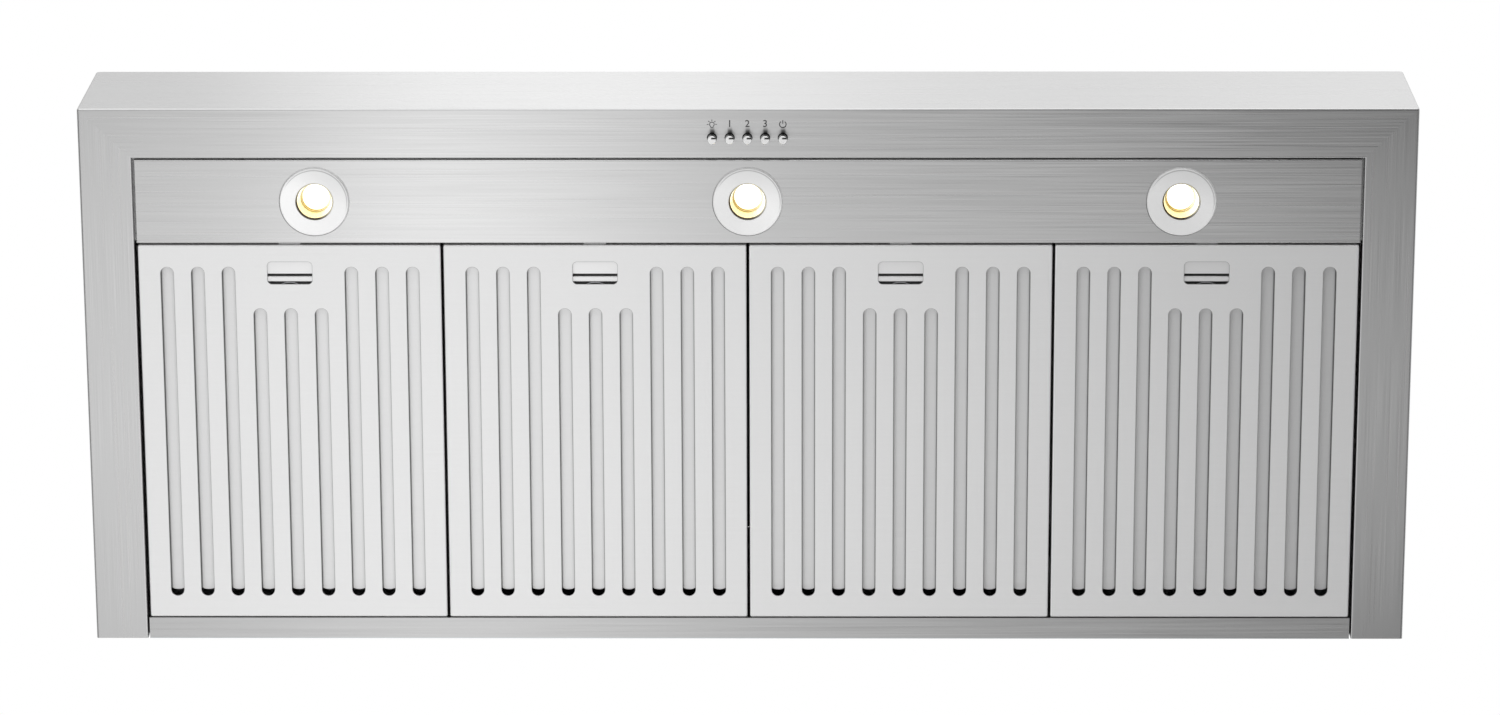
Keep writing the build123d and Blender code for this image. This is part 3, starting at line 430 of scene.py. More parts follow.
# %% [markdown]
# ## Plain metals and plastics
# The parts inside the canopy are galvanised sheet, painted steel, die-cast aluminium and
# moulded plastic. A flat colour would be quicker to set, but it looks like a toy. So each gets a
# fine mottle in its colour and gloss.

# %% Plain finishes
def mottled(name, tint, metallic, roughness, size, depth):
    finish = Finish(name)
    spots = finish.noise((size,) * 3, detail=4.0)
    color = finish.blend_colors(spots, *tint_range(tint, depth))
    rough = roughness + (spots - 0.5) * 0.15
    height = finish.noise((size * 6,) * 3)
    bump = finish.node("Bump", None, {"Strength": 0.15, "Distance": 0.0002, "Height": height})
    return finish.surface(Base_Color=color, Metallic=metallic, Roughness=rough, Normal=bump)


galvanised = mottled("galvanised", (0.6, 0.62, 0.63), 1.0, 0.38, 60.0, 0.12)
blower_paint = mottled("blower_paint", (0.05, 0.05, 0.055), 0.0, 0.42, 300.0, 0.1)
wheel_metal = mottled("wheel_metal", (0.66, 0.67, 0.68), 1.0, 0.35, 120.0, 0.06)
cast_aluminium = mottled("cast_aluminium", (0.5, 0.5, 0.52), 1.0, 0.5, 500.0, 0.08)
motor_paint = mottled("motor_paint", (0.17, 0.17, 0.18), 0.0, 0.4, 400.0, 0.08)
black_plastic = mottled("black_plastic", (0.03, 0.03, 0.032), 0.0, 0.5, 700.0, 0.1)
cream_plastic = mottled("cream_plastic", (0.8, 0.78, 0.7), 0.0, 0.45, 500.0, 0.03)
white_plastic = mottled("white_plastic", (0.76, 0.76, 0.76), 0.0, 0.45, 500.0, 0.03)
shaft_steel = mottled("shaft_steel", (0.6, 0.6, 0.6), 1.0, 0.2, 900.0, 0.04)
latch_metal = mottled("latch_metal", (0.88, 0.88, 0.88), 0.5, 0.35, 300.0, 0.01)
spring_metal = mottled("spring_metal", (0.5, 0.5, 0.52), 1.0, 0.3, 600.0, 0.05)
screw_metal = mottled("screw_metal", (0.62, 0.62, 0.63), 1.0, 0.28, 500.0, 0.05)
ink = mottled("ink", (0.035, 0.035, 0.037), 0.0, 0.5, 900.0, 0.15)
print("plain finishes end with:", ink.name)

# %% [markdown]
# ## Polished bezels and caps
# The bezels are polished and the button caps are chrome plated. A chrome cap in a dark hole shows
# the dark round its side and the bright room on its end. A true mirror would need that room built.
# So the reflections are painted: the tint follows the way the surface faces, and a mask adds what
# the metal reflects of its neighbours, or the bezel's painted shade. The bezels also glow a
# little, with painted light from their lamps.

# %% Polished bezels and caps
def cap_dash(finish):
    """The dark dash that each button cap reflects from the room."""
    ahead = cap_y - finish.axis(finish.position(), "Y")
    band = finish.soft_step(ahead, 0.0006, 0.0012) * finish.soft_step(ahead, 0.0028, 0.0022)
    return band * finish.soft_step(beside_cap(finish), -0.0012, 0.0)


bezel_middles = middles([f"light_{n}_bezel" for n in range(1, 4)])
bezel_pitch = bezel_middles[1][0] - bezel_middles[0][0]
bezel_low, bezel_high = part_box("light_1_bezel")
bezel_radius = (bezel_high.x - bezel_low.x) / 2
edge_shade_inside = bezel_radius - 0.0028


def from_lamp(finish):
    """Where a point lies from the middle of its lamp: along X and along Y."""
    place = finish.position()
    across = finish.nearest_multiple(finish.axis(place, "X"), bezel_pitch)
    return across, finish.axis(place, "Y") - bezel_middles[0][1]


def bezel_turn(finish):
    """The dished bezel's painted shade: greyer to the front and right, with a painted dark ring
    near its edge there.
    """
    across, ahead = from_lamp(finish)
    out = finish.length(across, ahead)
    lean = (across * 0.35 - ahead * 0.9) * (1.0 / bezel_radius)
    edge_shade = finish.soft_step(out, edge_shade_inside, edge_shade_inside + 0.0006)
    edge_shade = edge_shade * finish.soft_step(out, edge_shade_inside + 0.0017, edge_shade_inside + 0.0011)
    edge_shade = edge_shade * finish.soft_step(lean, -0.1, 0.4)
    return finish.soft_step(lean, -0.1, 1.1) * 0.3 + edge_shade * 0.45


def polished(name, side_grey, roughness, metallic, dark, glow=0.0):
    """Painted reflection: bright where the surface faces up or down, and side_grey where it faces
    sideways; glow is painted light.
    """
    finish = Finish(name)
    light = finish.absolute(finish.axis(finish.facing(), "Z")) * (1.0 - dark(finish))
    wear = finish.noise((90.0, 90.0, 90.0))
    color = finish.blend_colors(light, (side_grey,) * 3 + (1.0,), (0.97, 0.97, 0.97, 1.0))
    return finish.surface(
        Base_Color=color,
        Metallic=metallic,
        Roughness=roughness + wear * 0.04,
        Emission_Color=color,
        Emission_Strength=glow,
    )


# The bezels glow a little: painted light from their lamps.
bezel_metal = polished("bezel_metal", 0.3, 0.3, 0.2, bezel_turn, 0.12)
button_chrome = polished("button_chrome", 0.03, 0.12, 0.6, cap_dash)
print("polished finishes:", bezel_metal.name, button_chrome.name)

# %% [markdown]
# ## Lit reflector cups
# A lamp's light washes out the cup round its lens, and the side of the cup that turns from the eye
# looks golden. A real light in there would need many more samples. So that light is painted: the
# cup glows a little by itself, and its colour follows the place, washed out on one side and golden
# on the other.

# %% Lit reflector cups
def reflector_finish():
    """Painted light on the cup round the lens: washed out, and golden on the side that turns from
    it.
    """
    finish = Finish("reflector_metal")
    across, ahead = from_lamp(finish)
    gold = finish.soft_step((ahead * 0.9 - across * 0.45) * (1.0 / bezel_radius), -0.05, 0.45)
    rings = finish.math("SINE", finish.axis(finish.position(), "Z") * 7000.0)
    color = finish.blend_colors(gold, (0.98, 0.97, 0.88, 1.0), (0.86, 0.72, 0.36, 1.0))
    color = finish.blend_colors(gold * (rings * 0.12 + 0.12), color, (0.5, 0.36, 0.1, 1.0))
    return finish.surface(
        Base_Color=color, Metallic=0.3, Roughness=0.35, Emission_Color=color, Emission_Strength=0.4
    )


reflector_metal = reflector_finish()
print("lit finish:", reflector_metal.name)

# %% [markdown]
# ## Finishes on the CAD nodes
# The model's nodes are the real sheets, castings and mouldings, and they keep their meshes. A
# finish could be linked to each object by hand, but a list of names beside each finish shows
# what is made of what.

# %% Dress the CAD nodes
def dress(material, *names):
    for name in names:
        mesh = nodes[name].data
        mesh.materials.clear()
        mesh.materials.append(material)


dress(canopy_steel, "canopy_shell")
dress(panel_steel, "light_panel", "chimney_lower", "chimney_upper")
dress(rail_steel, "back_rail")
dress(filter_steel, *[f"filter_{n}_face" for n in range(1, 5)])
dress(baffle_steel, *[f"filter_{n}_baffle" for n in range(1, 5)])
dress(latch_metal, *[f"filter_{n}_latch" for n in range(1, 5)])
dress(spring_metal, *[f"filter_{n}_spring" for n in range(1, 5)])
dress(black_plastic, "switch_block", "cable_gland")
dress(button_chrome, *[f"button_{n}" for n in range(1, 6)])
dress(bezel_metal, *[f"light_{n}_bezel" for n in range(1, 4)])
dress(reflector_metal, *[f"light_{n}_lamp" for n in range(1, 4)])
dress(cast_aluminium, "run_capacitor", *[f"light_{n}_holder" for n in range(1, 4)])
dress(galvanised, "back_panel", "blower_deck", "switch_bracket", "damper_flap_left")
dress(galvanised, "damper_flap_right", "control_box", "control_box_cover")
dress(galvanised, "chimney_bracket", "chimney_feet", "damper_collar")
dress(blower_paint, "blower_housing", "inlet_ring_left", "inlet_ring_right", "motor_cradle")
dress(wheel_metal, "impeller")
dress(shaft_steel, "motor_shaft")
dress(motor_paint, "motor")
dress(cream_plastic, "terminal_block")
dress(white_plastic, "led_driver")
print("dressed:", sum(1 for node in nodes.values() if node.data.materials))

# %% [markdown]
# ## Marks at the buttons
# A mark is printed on the rim in front of each button: a lamp, the fan speeds 1 to 3, and the
# power sign. A picture of the print would need an image and a UV map. Here each mark is a very
# thin raised mesh, drawn as a pen would draw it: a stroke of even width along a line of points.

# %% Print helpers
def add_object(name, mesh, material, body):
    mesh.materials.clear()
    mesh.materials.append(material)
    made = bpy.data.objects.new(name, mesh)
    bpy.context.scene.collection.objects.link(made)
    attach(made, body)
    return made


def stroke(shape, points, width, closed, z_low, z_high):
    """Add a flat pen stroke to a bmesh, as a closed strip between two heights."""
    count = len(points)
    rings = []
    for index, point in enumerate(points):
        before = points[index - 1] if closed or index else point
        after = points[(index + 1) % count] if closed or index < count - 1 else point
        heading = (Vector(after) - Vector(before)).normalized()
        across = Vector((-heading.y, heading.x)) * width / 2
        left = Vector(point) + across
        right = Vector(point) - across
        corners = ((left, z_low), (right, z_low), (right, z_high), (left, z_high))
        rings.append([shape.verts.new((at.x, at.y, z)) for at, z in corners])
    pairs = zip(rings, rings[1:] + rings[:1]) if closed else zip(rings, rings[1:])
    for first, second in pairs:
        for corner in range(4):
            following = (corner + 1) % 4
            shape.faces.new((first[corner], first[following], second[following], second[corner]))
    if not closed:
        shape.faces.new(list(reversed(rings[0])))
        shape.faces.new(rings[-1])


def arc(middle, radius, start, end, steps):
    turns = [math.radians(start + (end - start) * step / steps) for step in range(steps + 1)]
    return [(middle[0] + radius * math.cos(t), middle[1] + radius * math.sin(t)) for t in turns]


def mesh_from(shape, name):
    bmesh.ops.recalc_face_normals(shape, faces=shape.faces[:])
    mesh = bpy.data.meshes.new(name)
    shape.to_mesh(mesh)
    shape.free()
    return mesh


rim_under = canopy_low.z
print("rim underside at", round(rim_under * 1000, 2), "mm")

# %% [markdown]
# ## Lamp and power signs
# The lamp sign is a bulb with five rays, and the power sign is an open ring with a bar. A font of
# symbols could give both, but not every machine has one. So the pen draws them as arcs and lines.

# %% Lamp and power signs
print_low = rim_under - 0.00006
print_high = rim_under + 0.00002
pen = 0.00085
fine_pen = pen * 0.8
mark_y = -0.4947
sign_y = mark_y + 0.0004
foot_y = mark_y + 0.0034

lamp_sign = bmesh.new()
lamp_x = cap_xs[0]
globe = arc((lamp_x, sign_y), 0.0021, 125, 415, 22)
foot = [(lamp_x + 0.0009, foot_y), (lamp_x - 0.0009, foot_y)]
stroke(lamp_sign, globe + foot, fine_pen, True, print_low, print_high)
for turn in (180, 225, 270, 315, 360):
    ray = [arc((lamp_x, sign_y), reach, turn, turn, 1)[0] for reach in (0.0031, 0.0045)]
    stroke(lamp_sign, ray, fine_pen, False, print_low, print_high)
add_object("mark_lamp", mesh_from(lamp_sign, "mark_lamp"), ink, "hood")

power_sign = bmesh.new()
power_x = cap_xs[4]
ring = arc((power_x, sign_y), 0.0030, -58, 238, 30)
stroke(power_sign, ring, pen, False, print_low, print_high)
bar = [(power_x, mark_y - 0.0034), (power_x, mark_y - 0.0002)]
stroke(power_sign, bar, pen, False, print_low, print_high)
add_object("mark_power", mesh_from(power_sign, "mark_power"), ink, "hood")
print("signs at x", [round(x * 1000, 1) for x in (lamp_x, power_x)])

# %% [markdown]
# ## Speed digits
# Strokes could draw the digits too, but the curves of a 2 and a 3 are hard to get even, so they
# come from Blender's own font as text curves. They are turned to face down, so a reader in
# front of the hood who looks up sees them the right way round.

# %% Speed digits
for digit in (1, 2, 3):
    curve = bpy.data.curves.new(f"digit_{digit}", "FONT")
    curve.body = str(digit)
    curve.size = 0.0092
    curve.align_x = "CENTER"
    curve.align_y = "CENTER"
    curve.extrude = 0.00004
    curve.offset = 0.00005
    text = bpy.data.objects.new(f"digit_{digit}", curve)
    bpy.context.scene.collection.objects.link(text)
    bpy.context.view_layer.update()
    evaluated = text.evaluated_get(bpy.context.evaluated_depsgraph_get())
    mesh = bpy.data.meshes.new_from_object(evaluated)
    bpy.data.objects.remove(text)
    place = Matrix.Translation((cap_xs[digit], mark_y, rim_under - 0.00002))
    mesh.transform(place @ Matrix.Rotation(math.pi, 4, "X"))
    add_object(f"mark_{digit}", mesh, ink, "hood")
print("digits at x", [round(x * 1000, 1) for x in cap_xs[1:4]])

# %% [markdown]
# ## Turned parts
# Lenses, rings and screw heads are round, so each is an outline turned about an axis. A Screw
# modifier could turn it, but then its ends have to be merged. This small lathe closes the ring
# itself, and it can pull points in on the way round, for the cross in a screw head.

# %% Lathe
def lathe(shape, middle, profile, segments, wave=None):
    """Turn (radius, height) points round a vertical line through middle."""
    rings = []
    for radius, height in profile:
        ring = []
        for step in range(segments):
            turn = 2 * math.pi * step / segments
            reach = radius if wave is None else wave(radius, height, turn)
            x = middle[0] + reach * math.cos(turn)
            y = middle[1] + reach * math.sin(turn)
            ring.append(shape.verts.new((x, y, middle[2] + height)))
        rings.append(ring)
    for first, second in zip(rings, rings[1:] + rings[:1]):
        for step in range(segments):
            following = (step + 1) % segments
            shape.faces.new((first[step], first[following], second[following], second[step]))


lamp_middles = middles([f"light_{n}_lamp" for n in range(1, 4)])
lamp_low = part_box("light_1_lamp")[0].z


def turn_at_lamps(name, z, profiles, segments):
    """Turn the same profiles about the axis of each lamp, all in one mesh."""
    shape = bmesh.new()
    for x, y in lamp_middles:
        for profile in profiles:
            lathe(shape, (x, y, z), profile, segments)
    return mesh_from(shape, name)


print("lamp middles:", [tuple(round(v * 1000, 1) for v in middle) for middle in lamp_middles])

# %% [markdown]
# ## Finishes of the lamps
# Each lamp is an LED module. Its lens is white in the middle and warm at the edge, and dark thin
# rings stand out against the cup. A point light behind real glass would be slow and noisy, so the
# lens glows by a ramp over the distance from its lamp's middle. The rings blend from bright to
# dark by a painted shade that is stored on their points, dark on the side that turns from the
# light.

# %% Finishes of the lamps
def glow_finish(name, center_color, edge_color, strength, reach):
    """Lit from inside, with a colour that changes with the distance from the nearest lamp."""
    finish = Finish(name)
    flat = finish.vector("MULTIPLY", finish.position(), (1.0, 1.0, 0.0))
    distance = None
    for x, y in lamp_middles:
        ends = {0: flat, 1: (x, y, 0.0)}
        away = finish.node("VectorMath", {"operation": "DISTANCE"}, ends, "Value")
        distance = away if distance is None else finish.smaller(distance, away)
    steps = [(0.0, center_color), (0.75, center_color), (1.0, edge_color)]
    color = finish.node("ValToRGB", {"stops": steps}, {0: distance * (1.0 / reach)})
    return finish.surface(
        Base_Color=color, Roughness=0.35, Emission_Color=color, Emission_Strength=strength
    )


def varnished(name, bright, dark):
    """A ring in the lamp with painted shade: dark where it turns from the light, washed out
    elsewhere.
    """
    finish = Finish(name)
    shade = finish.node("Attribute", {"attribute_name": "shade"}, output="Fac")
    grain = finish.noise((600.0, 600.0, 600.0)) * 0.1
    color = finish.blend_colors(shade + grain, bright + (1.0,), dark + (1.0,))
    return finish.surface(Base_Color=color, Roughness=0.4)


lens_radius = 0.0121
lens_white = (1.0, 0.985, 0.95, 1.0)
lens_warm = (1.0, 0.96, 0.84, 1.0)
lens_glow = glow_finish("lens_glow", lens_white, lens_warm, 1.7, lens_radius)
lip_painted_shade = varnished("lip_painted_shade", (0.9, 0.86, 0.7), (0.06, 0.035, 0.015))
ring_painted_shade = varnished("ring_painted_shade", (0.97, 0.95, 0.82), (0.62, 0.48, 0.16))
gasket_light_and_shade = varnished("gasket_light_and_shade", (0.85, 0.85, 0.85), (0.04, 0.04, 0.04))
print("lamp finishes:", lens_glow.name, lip_painted_shade.name, ring_painted_shade.name)

# %% [markdown]
# ## Lenses and rings
# A domed lens sits in the reflector's throat, two thin rings step the reflector's mouth, a lip
# ends it, and a rubber gasket lies between the bezel and the panel. The lip and the rings carry
# painted shade on the side that turns from the light, and the gasket a painted shadow on one side
# and a painted highlight on the other. They could be one solid each, but all three lamps are alike
# and fixed to the hood, so one mesh holds each kind.

# %% Lenses and rings
lens_height = 0.0158
dome_rise = 0.0022
lens_back = 0.0006
dome_turns = [math.radians(step * 11) for step in range(9)]
dome = [(lens_radius * math.cos(t), -dome_rise * math.sin(t)) for t in dome_turns]
lens_profile = dome + [(0.0004, lens_back), (lens_radius, lens_back)]


def ring_outline(inner, outer, low, high):
    """The outline of a ring with a square section."""
    return [(inner, low), (outer, low), (outer, high), (inner, high)]


def shade_ring(mesh, start, reach):
    """Store the painted shade of each point: how far it lies round the ring from the side that
    faces the light.
    """
    shade = mesh.attributes.new("shade", "FLOAT", "POINT")
    for index, vertex in enumerate(mesh.vertices):
        x, y = min(lamp_middles, key=lambda at: abs(at[0] - vertex.co.x))
        lean = (vertex.co.x - x) * -0.6 + (vertex.co.y - y) * 0.8
        shade.data[index].value = max(0.0, min(1.0, start + lean / reach))
    return mesh


lip = ring_outline(0.0160, 0.0173, -0.0012, -0.0002)
lip_mesh = shade_ring(turn_at_lamps("lamp_lips", lamp_low, [lip], 64), 0.1, 0.013)
add_object("lamp_lips", lip_mesh, lip_painted_shade, "hood")

panel_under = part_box("light_panel")[0].z
gasket = ring_outline(bezel_radius - 0.002, bezel_radius + 0.0006, -0.0007, 0.0)
gasket_mesh = shade_ring(turn_at_lamps("lamp_gaskets", panel_under, [gasket], 64), 0.35, 0.045)
add_object("lamp_gaskets", gasket_mesh, gasket_light_and_shade, "hood")

lens_mesh = turn_at_lamps("lamp_lenses", lamp_low + lens_height, [lens_profile], 40)
add_object("lamp_lenses", lens_mesh, lens_glow, "hood")

ring_wall, ring_depth = 0.0007, 0.0008
ring_profiles = [
    ring_outline(radius, radius + ring_wall, height, height + ring_depth)
    for radius, height in ((0.0122, 0.0145), (0.0131, 0.0120))
]
ring_mesh = shade_ring(turn_at_lamps("lamp_rings", lamp_low, ring_profiles, 40), 0.25, 0.016)
add_object("lamp_rings", ring_mesh, ring_painted_shade, "hood")
print("lenses:", len(lamp_middles))

# %% [markdown]
# ## Screw head
# The covers, the deck, the duct collar and the chimney are held by small pan-head screws with a
# cross recess. A Boolean could cut the cross, but it leaves long thin faces. Here the head is
# turned on the lathe, and its two inner rings are pulled into a cross on the way round.

# %% Screw head
recess_radius = 0.0012


def recess(radius, height, turn):
    """Pull the two inner rings of the head into a cross."""
    if height < 0.0012 and radius < recess_radius:
        return radius * (0.45 + 0.95 * abs(math.cos(2 * turn)) ** 3)
    return radius


screw_shape = bmesh.new()
head_profile = [
    (0.0034, 0.0),
    (0.0034, 0.0008),
    (0.0030, 0.0016),
    (0.0021, 0.0021),
    (recess_radius, 0.0022),
    (0.00118, 0.0011),
    (0.0003, 0.0009),
    (0.0003, 0.0),
]
lathe(screw_shape, (0.0, 0.0, 0.0), head_profile, 32, recess)
screw_mesh = mesh_from(screw_shape, "screw_head")
screw_mesh.materials.append(screw_metal)
screw_head = bpy.data.objects.new("screw_head", screw_mesh)
print("screw head faces:", len(screw_mesh.polygons))

# %% [markdown]
# ## Node tree for the screws
# The same head stands in two dozen places. Copies could be placed by hand, but Geometry Nodes
# puts one on every point of a small point cloud. Each point carries the way that its screw
# faces, and a seeded random turn leaves the cross recesses at different angles.

# %% Node tree for the screws
def node_in(tree, kind, **settings):
    made = tree.nodes.new(kind)
    for key, setting in settings.items():
        setattr(made, key, setting)
    return made


def screw_tree():
    tree = bpy.data.node_groups.new("screw_pattern", "GeometryNodeTree")
    sockets = {"Points": "Geometry", "Head": "Object", "Seed": "Int", "Finish": "Material"}
    for name, kind in sockets.items():
        tree.interface.new_socket(name, in_out="INPUT", socket_type="NodeSocket" + kind)
    tree.interface.new_socket("Screws", in_out="OUTPUT", socket_type="NodeSocketGeometry")
    start = node_in(tree, "NodeGroupInput")
    end = node_in(tree, "NodeGroupOutput")
    info = node_in(tree, "GeometryNodeObjectInfo")
    facing = node_in(tree, "GeometryNodeInputNamedAttribute", data_type="FLOAT_VECTOR")
    facing.inputs["Name"].default_value = "facing"
    align = node_in(tree, "FunctionNodeAlignRotationToVector", axis="Z")
    place = node_in(tree, "GeometryNodeInstanceOnPoints")
    chance = node_in(tree, "FunctionNodeRandomValue", data_type="FLOAT")
    chance.inputs["Max"].default_value = math.pi
    spin = node_in(tree, "ShaderNodeCombineXYZ")
    turn = node_in(tree, "GeometryNodeRotateInstances")
    solid = node_in(tree, "GeometryNodeRealizeInstances")
    coat = node_in(tree, "GeometryNodeSetMaterial")
    links = (
        (start, "Points", place, "Points"),
        (start, "Head", info, "Object"),
        (info, "Geometry", place, "Instance"),
        (facing, "Attribute", align, "Vector"),
        (align, "Rotation", place, "Rotation"),
        (start, "Seed", chance, "Seed"),
        (chance, "Value", spin, "Z"),
        (place, "Instances", turn, "Instances"),
        (spin, "Vector", turn, "Rotation"),
        (turn, "Instances", solid, "Geometry"),
        (solid, "Geometry", coat, "Geometry"),
        (start, "Finish", coat, "Material"),
        (coat, "Geometry", end, "Screws"),
    )
    for source, output, target, given in links:
        tree.links.new(source.outputs[output], target.inputs[given])
    return tree


screws = screw_tree()
print("screw tree nodes:", len(screws.nodes))

# %% [markdown]
# ## Screws from points
# The tree needs a mesh of points that carry their direction. It could stay live in a modifier,
# but the finished mesh is simpler to hand on, so the tree runs once and its result is kept.

# %% Screws from points
def set_screws(name, spots, body, seed):
    """One mesh with a screw head on each spot, which is a place and the way its screw faces."""
    points = bpy.data.meshes.new(name)
    points.from_pydata([spot for spot, facing in spots], [], [])
    facing_values = points.attributes.new("facing", "FLOAT_VECTOR", "POINT")
    for index, (spot, facing) in enumerate(spots):
        facing_values.data[index].vector = facing
    carrier = bpy.data.objects.new(name, points)
    bpy.context.scene.collection.objects.link(carrier)
    modifier = carrier.modifiers.new("screws", "NODES")
    modifier.node_group = screws
    wanted = {"Head": screw_head, "Seed": seed, "Finish": screw_metal}
    for item in screws.interface.items_tree:
        if item.in_out == "INPUT" and item.name in wanted:
            modifier[item.identifier] = wanted[item.name]
    bpy.context.view_layer.update()
    evaluated = carrier.evaluated_get(bpy.context.evaluated_depsgraph_get())
    mesh = bpy.data.meshes.new_from_object(evaluated)
    bpy.data.objects.remove(carrier)
    return add_object(name, mesh, screw_metal, body)


print("head to place:", screw_head.name)

# %% [markdown]
# ## Places of the screws
# Screws hold the deck, the chimney's feet, the duct collar's flange, the control box's cover and
# both chimney covers. Their places could be typed in, but they are read from the boxes of the
# nodes instead, so a screw stays on its sheet when a size changes.

# %% Places of the screws
up = (0.0, 0.0, 1.0)
forward = (0.0, -1.0, 0.0)
edge = 0.008
foot_sheet = 0.001
flange_sheet = 0.0012
flange_edge = 0.006
deck_low, deck_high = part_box("blower_deck")
feet_low, feet_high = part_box("chimney_feet")
collar_low, collar_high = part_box("damper_collar")
cover_low, cover_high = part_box("control_box_cover")
lower_low, lower_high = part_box("chimney_lower")
upper_low, upper_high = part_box("chimney_upper")
bracket_low, bracket_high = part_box("chimney_bracket")
foot_ys = (feet_low.y + 2 * edge, feet_high.y - 2 * edge)
hood_spots = []
for x in (deck_low.x + edge, deck_high.x - edge):
    for y in (deck_low.y + edge, deck_high.y - edge):
        hood_spots.append(((x, y, deck_high.z), up))
for x in (feet_low.x + edge, feet_high.x - edge):
    for y in foot_ys:
        hood_spots.append(((x, y, deck_high.z + foot_sheet), up))
duct_middle = (collar_low + collar_high) / 2
flange_reach = (collar_high.x - collar_low.x) / 2 - flange_edge
for turn in range(30, 390, 60):
    x = duct_middle.x + flange_reach * math.cos(math.radians(turn))
    y = duct_middle.y + flange_reach * math.sin(math.radians(turn))
    hood_spots.append(((x, y, collar_low.z + flange_sheet), up))
for x in (cover_low.x + edge, cover_high.x - edge):
    for z in (cover_low.z + edge, cover_high.z - edge):
        hood_spots.append(((x, cover_low.y, z), forward))
for side, x in ((-1.0, lower_low.x), (1.0, lower_high.x)):
    for y in foot_ys:
        hood_spots.append(((x, y, feet_low.z + 0.014), (side, 0.0, 0.0)))
set_screws("hood_screws", hood_spots, "hood", 7)
slider_spots = []
bracket_z = (bracket_low.z + bracket_high.z) / 2
for side, x in ((-1.0, upper_low.x), (1.0, upper_high.x)):
    slider_spots.append(((x, bracket_low.y + 0.014, bracket_z), (side, 0.0, 0.0)))
set_screws("chimney_screws", slider_spots, "chimney_slider", 11)
print("screws:", len(hood_spots) + len(slider_spots))

# %% [markdown]
# ## Latch springs
# A bowed strip of spring steel pushes each latch home. It gives way when a finger slides the latch
# back, which a rigid solid can't do. So a strip along the same arc stands for each CAD spring,
# which is hidden.

# %% Latch springs
strip = 0.0004
for n in range(1, 5):
    spring_low, spring_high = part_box(f"filter_{n}_spring")
    middle_x = (spring_low.x + spring_high.x) / 2
    half_span = (spring_high.x - spring_low.x - strip) / 2
    bow = spring_high.y - spring_low.y - strip
    radius = (half_span**2 + bow**2) / (2 * bow)
    reach = math.degrees(math.asin(half_span / radius))
    top = (middle_x, spring_low.y + strip / 2 + radius)
    path = arc(top, radius, 270 - reach, 270 + reach, 24)
    spring_shape = bmesh.new()
    stroke(spring_shape, path, strip, False, spring_low.z, spring_high.z)
    spring_mesh = mesh_from(spring_shape, f"latch_spring_{n}")
    spring = add_object(f"latch_spring_{n}", spring_mesh, spring_metal, f"filter_{n}")
    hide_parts(f"filter_{n}_spring")
    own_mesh(spring)

# %% [markdown]
# ## Deck seal
# A strip of soft foam closes the joint between the blower deck and the back panel, so that no
# air or light gets past. A thin box would do, but foam bulges. So its outline is a half round,
# drawn out along the joint.

# %% Deck seal
seal_radius = 0.003
seal_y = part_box("back_panel")[0].y - 0.0031
seal_z = deck_low.z - 0.0002
outline = [arc((seal_y, seal_z), seal_radius, turn, turn, 1)[0] for turn in range(180, 361, 20)]
seal_shape = bmesh.new()
ends = [[seal_shape.verts.new((x, y, z)) for y, z in outline] for x in (lower_low.x, lower_high.x)]
for step in range(len(outline)):
    following = (step + 1) % len(outline)
    corners = (ends[0][step], ends[0][following], ends[1][following], ends[1][step])
    seal_shape.faces.new(corners)
seal_shape.faces.new(ends[0])
seal_shape.faces.new(list(reversed(ends[1])))
seal_foam = mottled("seal_foam", (0.04, 0.04, 0.04), 0.0, 0.8, 900.0, 0.2)
add_object("deck_seal", mesh_from(seal_shape, "deck_seal"), seal_foam, "hood")
print("seal length:", round(lower_high.x - lower_low.x, 3))

# %% [markdown]
# ## Floor
# The hood hangs over a pale floor, far below it, as it would in an empty white room. A plain
# plane would do, but it would hide the hood from a camera that stands below it and looks up. So
# its material is clear from behind.

# %% Floor
def grey(level):
    return (level, level, level, 1.0)


def stage_sheet(name, start, along, up, material):
    """A flat sheet from one corner, which faces the side that along x up points to."""
    corner, along, up = Vector(start), Vector(along), Vector(up)
    mesh = bpy.data.meshes.new(name)
    corners = (corner, corner + along, corner + along + up, corner + up)
    mesh.from_pydata(corners, [], [(0, 1, 2, 3)])
    mesh.materials.append(material)
    sheet = bpy.data.objects.new(name, mesh)
    bpy.context.scene.collection.objects.link(sheet)
    return sheet


def clear_where(finish, shader, hidden):
    """Mix a stage shader with clear where the sheet is to be hidden."""
    clear = finish.node("BsdfTransparent", None, {"Color": grey(1.0)})
    return finish.shown(finish.node("MixShader", None, {0: hidden, 1: shader, 2: clear}))


floor_finish = Finish("floor_paint")
floor_coat = floor_finish.node("BsdfDiffuse", None, {"Color": grey(0.82)})
behind = floor_finish.node("NewGeometry", output="Backfacing")
floor_paint = clear_where(floor_finish, floor_coat, behind)
floor_z = -6.5
floor_half = 30.0
floor_start = (-floor_half, -floor_half, floor_z)
floor_span = 2 * floor_half
stage_sheet("floor", floor_start, (floor_span, 0.0, 0.0), (0.0, floor_span, 0.0), floor_paint)
print("floor at", floor_z)

# %% [markdown]
# ## Glow of a reflection card
# A photographer shapes metal with cards that the metal sees and the lens doesn't. Lamps could
# light the hood, but steel shows what it reflects, and a lamp shows as a spot. So each card here
# is a large sheet that glows with a ramp of greys along one axis. Camera rays pass through it.

# %% Glow of a reflection card
def card_finish(name, letter, half_span, levels, gain=None):
    finish = Finish(name)
    reach = finish.axis(finish.position(), letter) * (0.5 / half_span) + 0.5
    steps = [(0.5 + 0.5 * at / half_span, grey(level)) for at, level in levels]
    tone = finish.node("ValToRGB", {"stops": steps}, {0: reach})
    if gain is not None:
        tone = finish.node("VectorMath", {"operation": "SCALE"}, {0: tone, "Scale": gain(finish)})
    glow = finish.node("Emission", None, {"Color": tone, "Strength": 1.0})
    unseen = finish.larger(
        finish.node("NewGeometry", output="Backfacing"),
        finish.node("LightPath", output="Is Camera Ray"),
    )
    return clear_where(finish, glow, unseen)


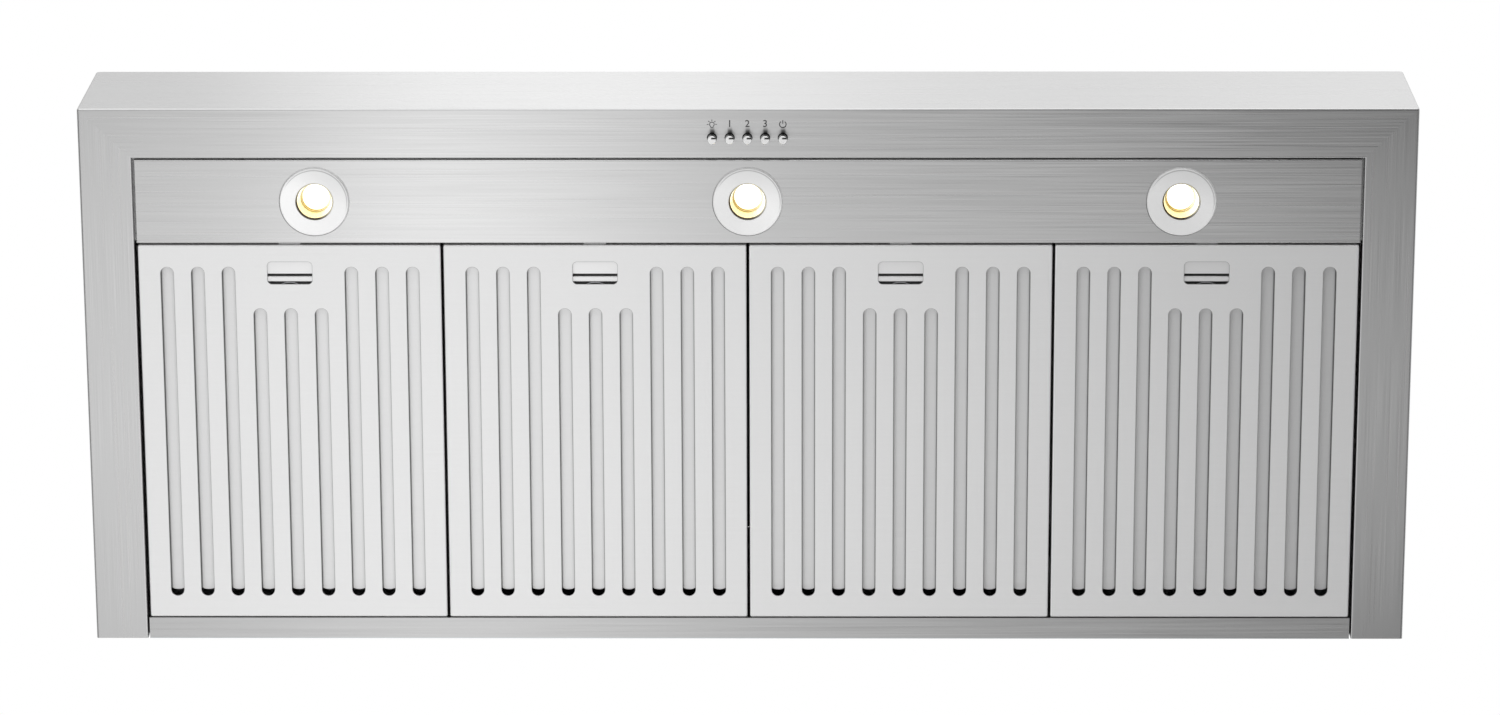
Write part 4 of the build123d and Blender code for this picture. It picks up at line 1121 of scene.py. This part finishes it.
swell_middle, swell_reach = 0.04, 0.33


def low_gain(finish):
    """The low card swells along Y round the filters, most of all on its right."""
    place = finish.position()
    from_middle = (finish.axis(place, "Y") - swell_middle) * (1.0 / swell_reach)
    swell = finish.larger(1.0 - from_middle * from_middle, -1.0) - 0.45
    to_right = finish.soft_step(finish.axis(place, "X"), -0.15, 0.66)
    return (swell * (to_right * 0.35 + 0.175) + 1.0) * 1.25


card_half = 1.6
low_levels = [
    (-card_half, 0.55), (-0.72, 0.66), (-0.56, 0.68), (-0.37, 1.21), (-0.16, 0.87), (0.0, 0.61),
    (0.16, 0.58), (0.38, 0.5), (0.54, 0.42), (0.72, 0.28), (card_half, 0.24),
]
high_levels = [
    (-card_half, 0.8), (-0.66, 0.87), (-0.5, 1.13), (-0.36, 1.26), (-0.15, 1.25), (0.0, 1.17),
    (0.16, 1.04), (0.36, 0.99), (0.66, 1.07), (card_half, 1.0),
]
front_levels = [(-card_half, 1.4), (0.0, 1.55), (card_half, 1.4)]
low_glow = card_finish("low_glow", "X", card_half, low_levels, low_gain)
high_glow = card_finish("high_glow", "X", card_half, high_levels)
front_glow = card_finish("front_glow", "X", card_half, front_levels)
print("card steps:", len(low_levels), len(high_levels))

# %% [markdown]
# ## Cards below and in front
# The low card gives the underside its fade from bright at the left to dark at the right. The
# high and the front card light the front band, the one as seen from below and the other as seen
# from in front. One big dome of light could stand for all three, but each card can be set alone.

# %% Cards below and in front
across = (2 * card_half, 0.0, 0.0)
back_across = (-2 * card_half, 0.0, 0.0)
cards = [
    stage_sheet("low_card", (-card_half, -1.9, -0.9), across, (0.0, 3.1, 0.0), low_glow),
    stage_sheet("high_card", (-card_half, -0.62, 1.4), across, (0.0, -1.98, 0.0), high_glow),
    stage_sheet("front_card", (card_half, -3.2, -3.6), back_across, (0.0, 0.0, 4.5), front_glow),
]
print("cards:", len(cards))

# %% [markdown]
# ## Cards at the sides and above
# In a white world the chimney and the roof would look like paper, and a darker world would grey
# the background too. So a card on either side and one above give them greys to reflect, and
# they take no part in the soft light on the matt parts.

# %% Cards at the sides and above
room_half = 3.0
room_depth = 5.0
room_height = (0.0, 0.0, 2 * room_half)
side_levels = [(-room_half, 0.08), (-1.2, 0.16), (0.0, 0.4), (1.2, 0.8), (room_half, 0.9)]
side_glow = card_finish("side_glow", "Z", room_half, side_levels)
top_levels = [(-room_half, 0.3), (0.0, 0.6), (room_half, 0.9)]
top_glow = card_finish("top_glow", "X", room_half, top_levels)
left_start = (-room_half, -room_half, -room_half)
right_start = (room_half, room_depth - room_half, -room_half)
top_start = (-room_half, room_depth - room_half, 3.6)
top_across = (2 * room_half, 0.0, 0.0)
shapers = [
    stage_sheet("left_card", left_start, (0.0, room_depth, 0.0), room_height, side_glow),
    stage_sheet("right_card", right_start, (0.0, -room_depth, 0.0), room_height, side_glow),
    stage_sheet("top_card", top_start, top_across, (0.0, -room_depth, 0.0), top_glow),
]
for card in cards + shapers:
    card.visible_shadow = False
for card in shapers:
    card.visible_diffuse = False
print("cards in all:", len(cards + shapers))

# %% [markdown]
# ## World
# A catalogue picture has a pure white background. A sheet behind the hood could give it, but its
# edge would show in some views. So one plain white world fills the rest.

# %% White world
world = bpy.data.worlds.new("studio")
bpy.context.scene.world = world
world.use_nodes = True
world.node_tree.nodes["Background"].inputs["Color"].default_value = grey(1.0)
world.node_tree.nodes["Background"].inputs["Strength"].default_value = 1.0
print("world:", world.name)
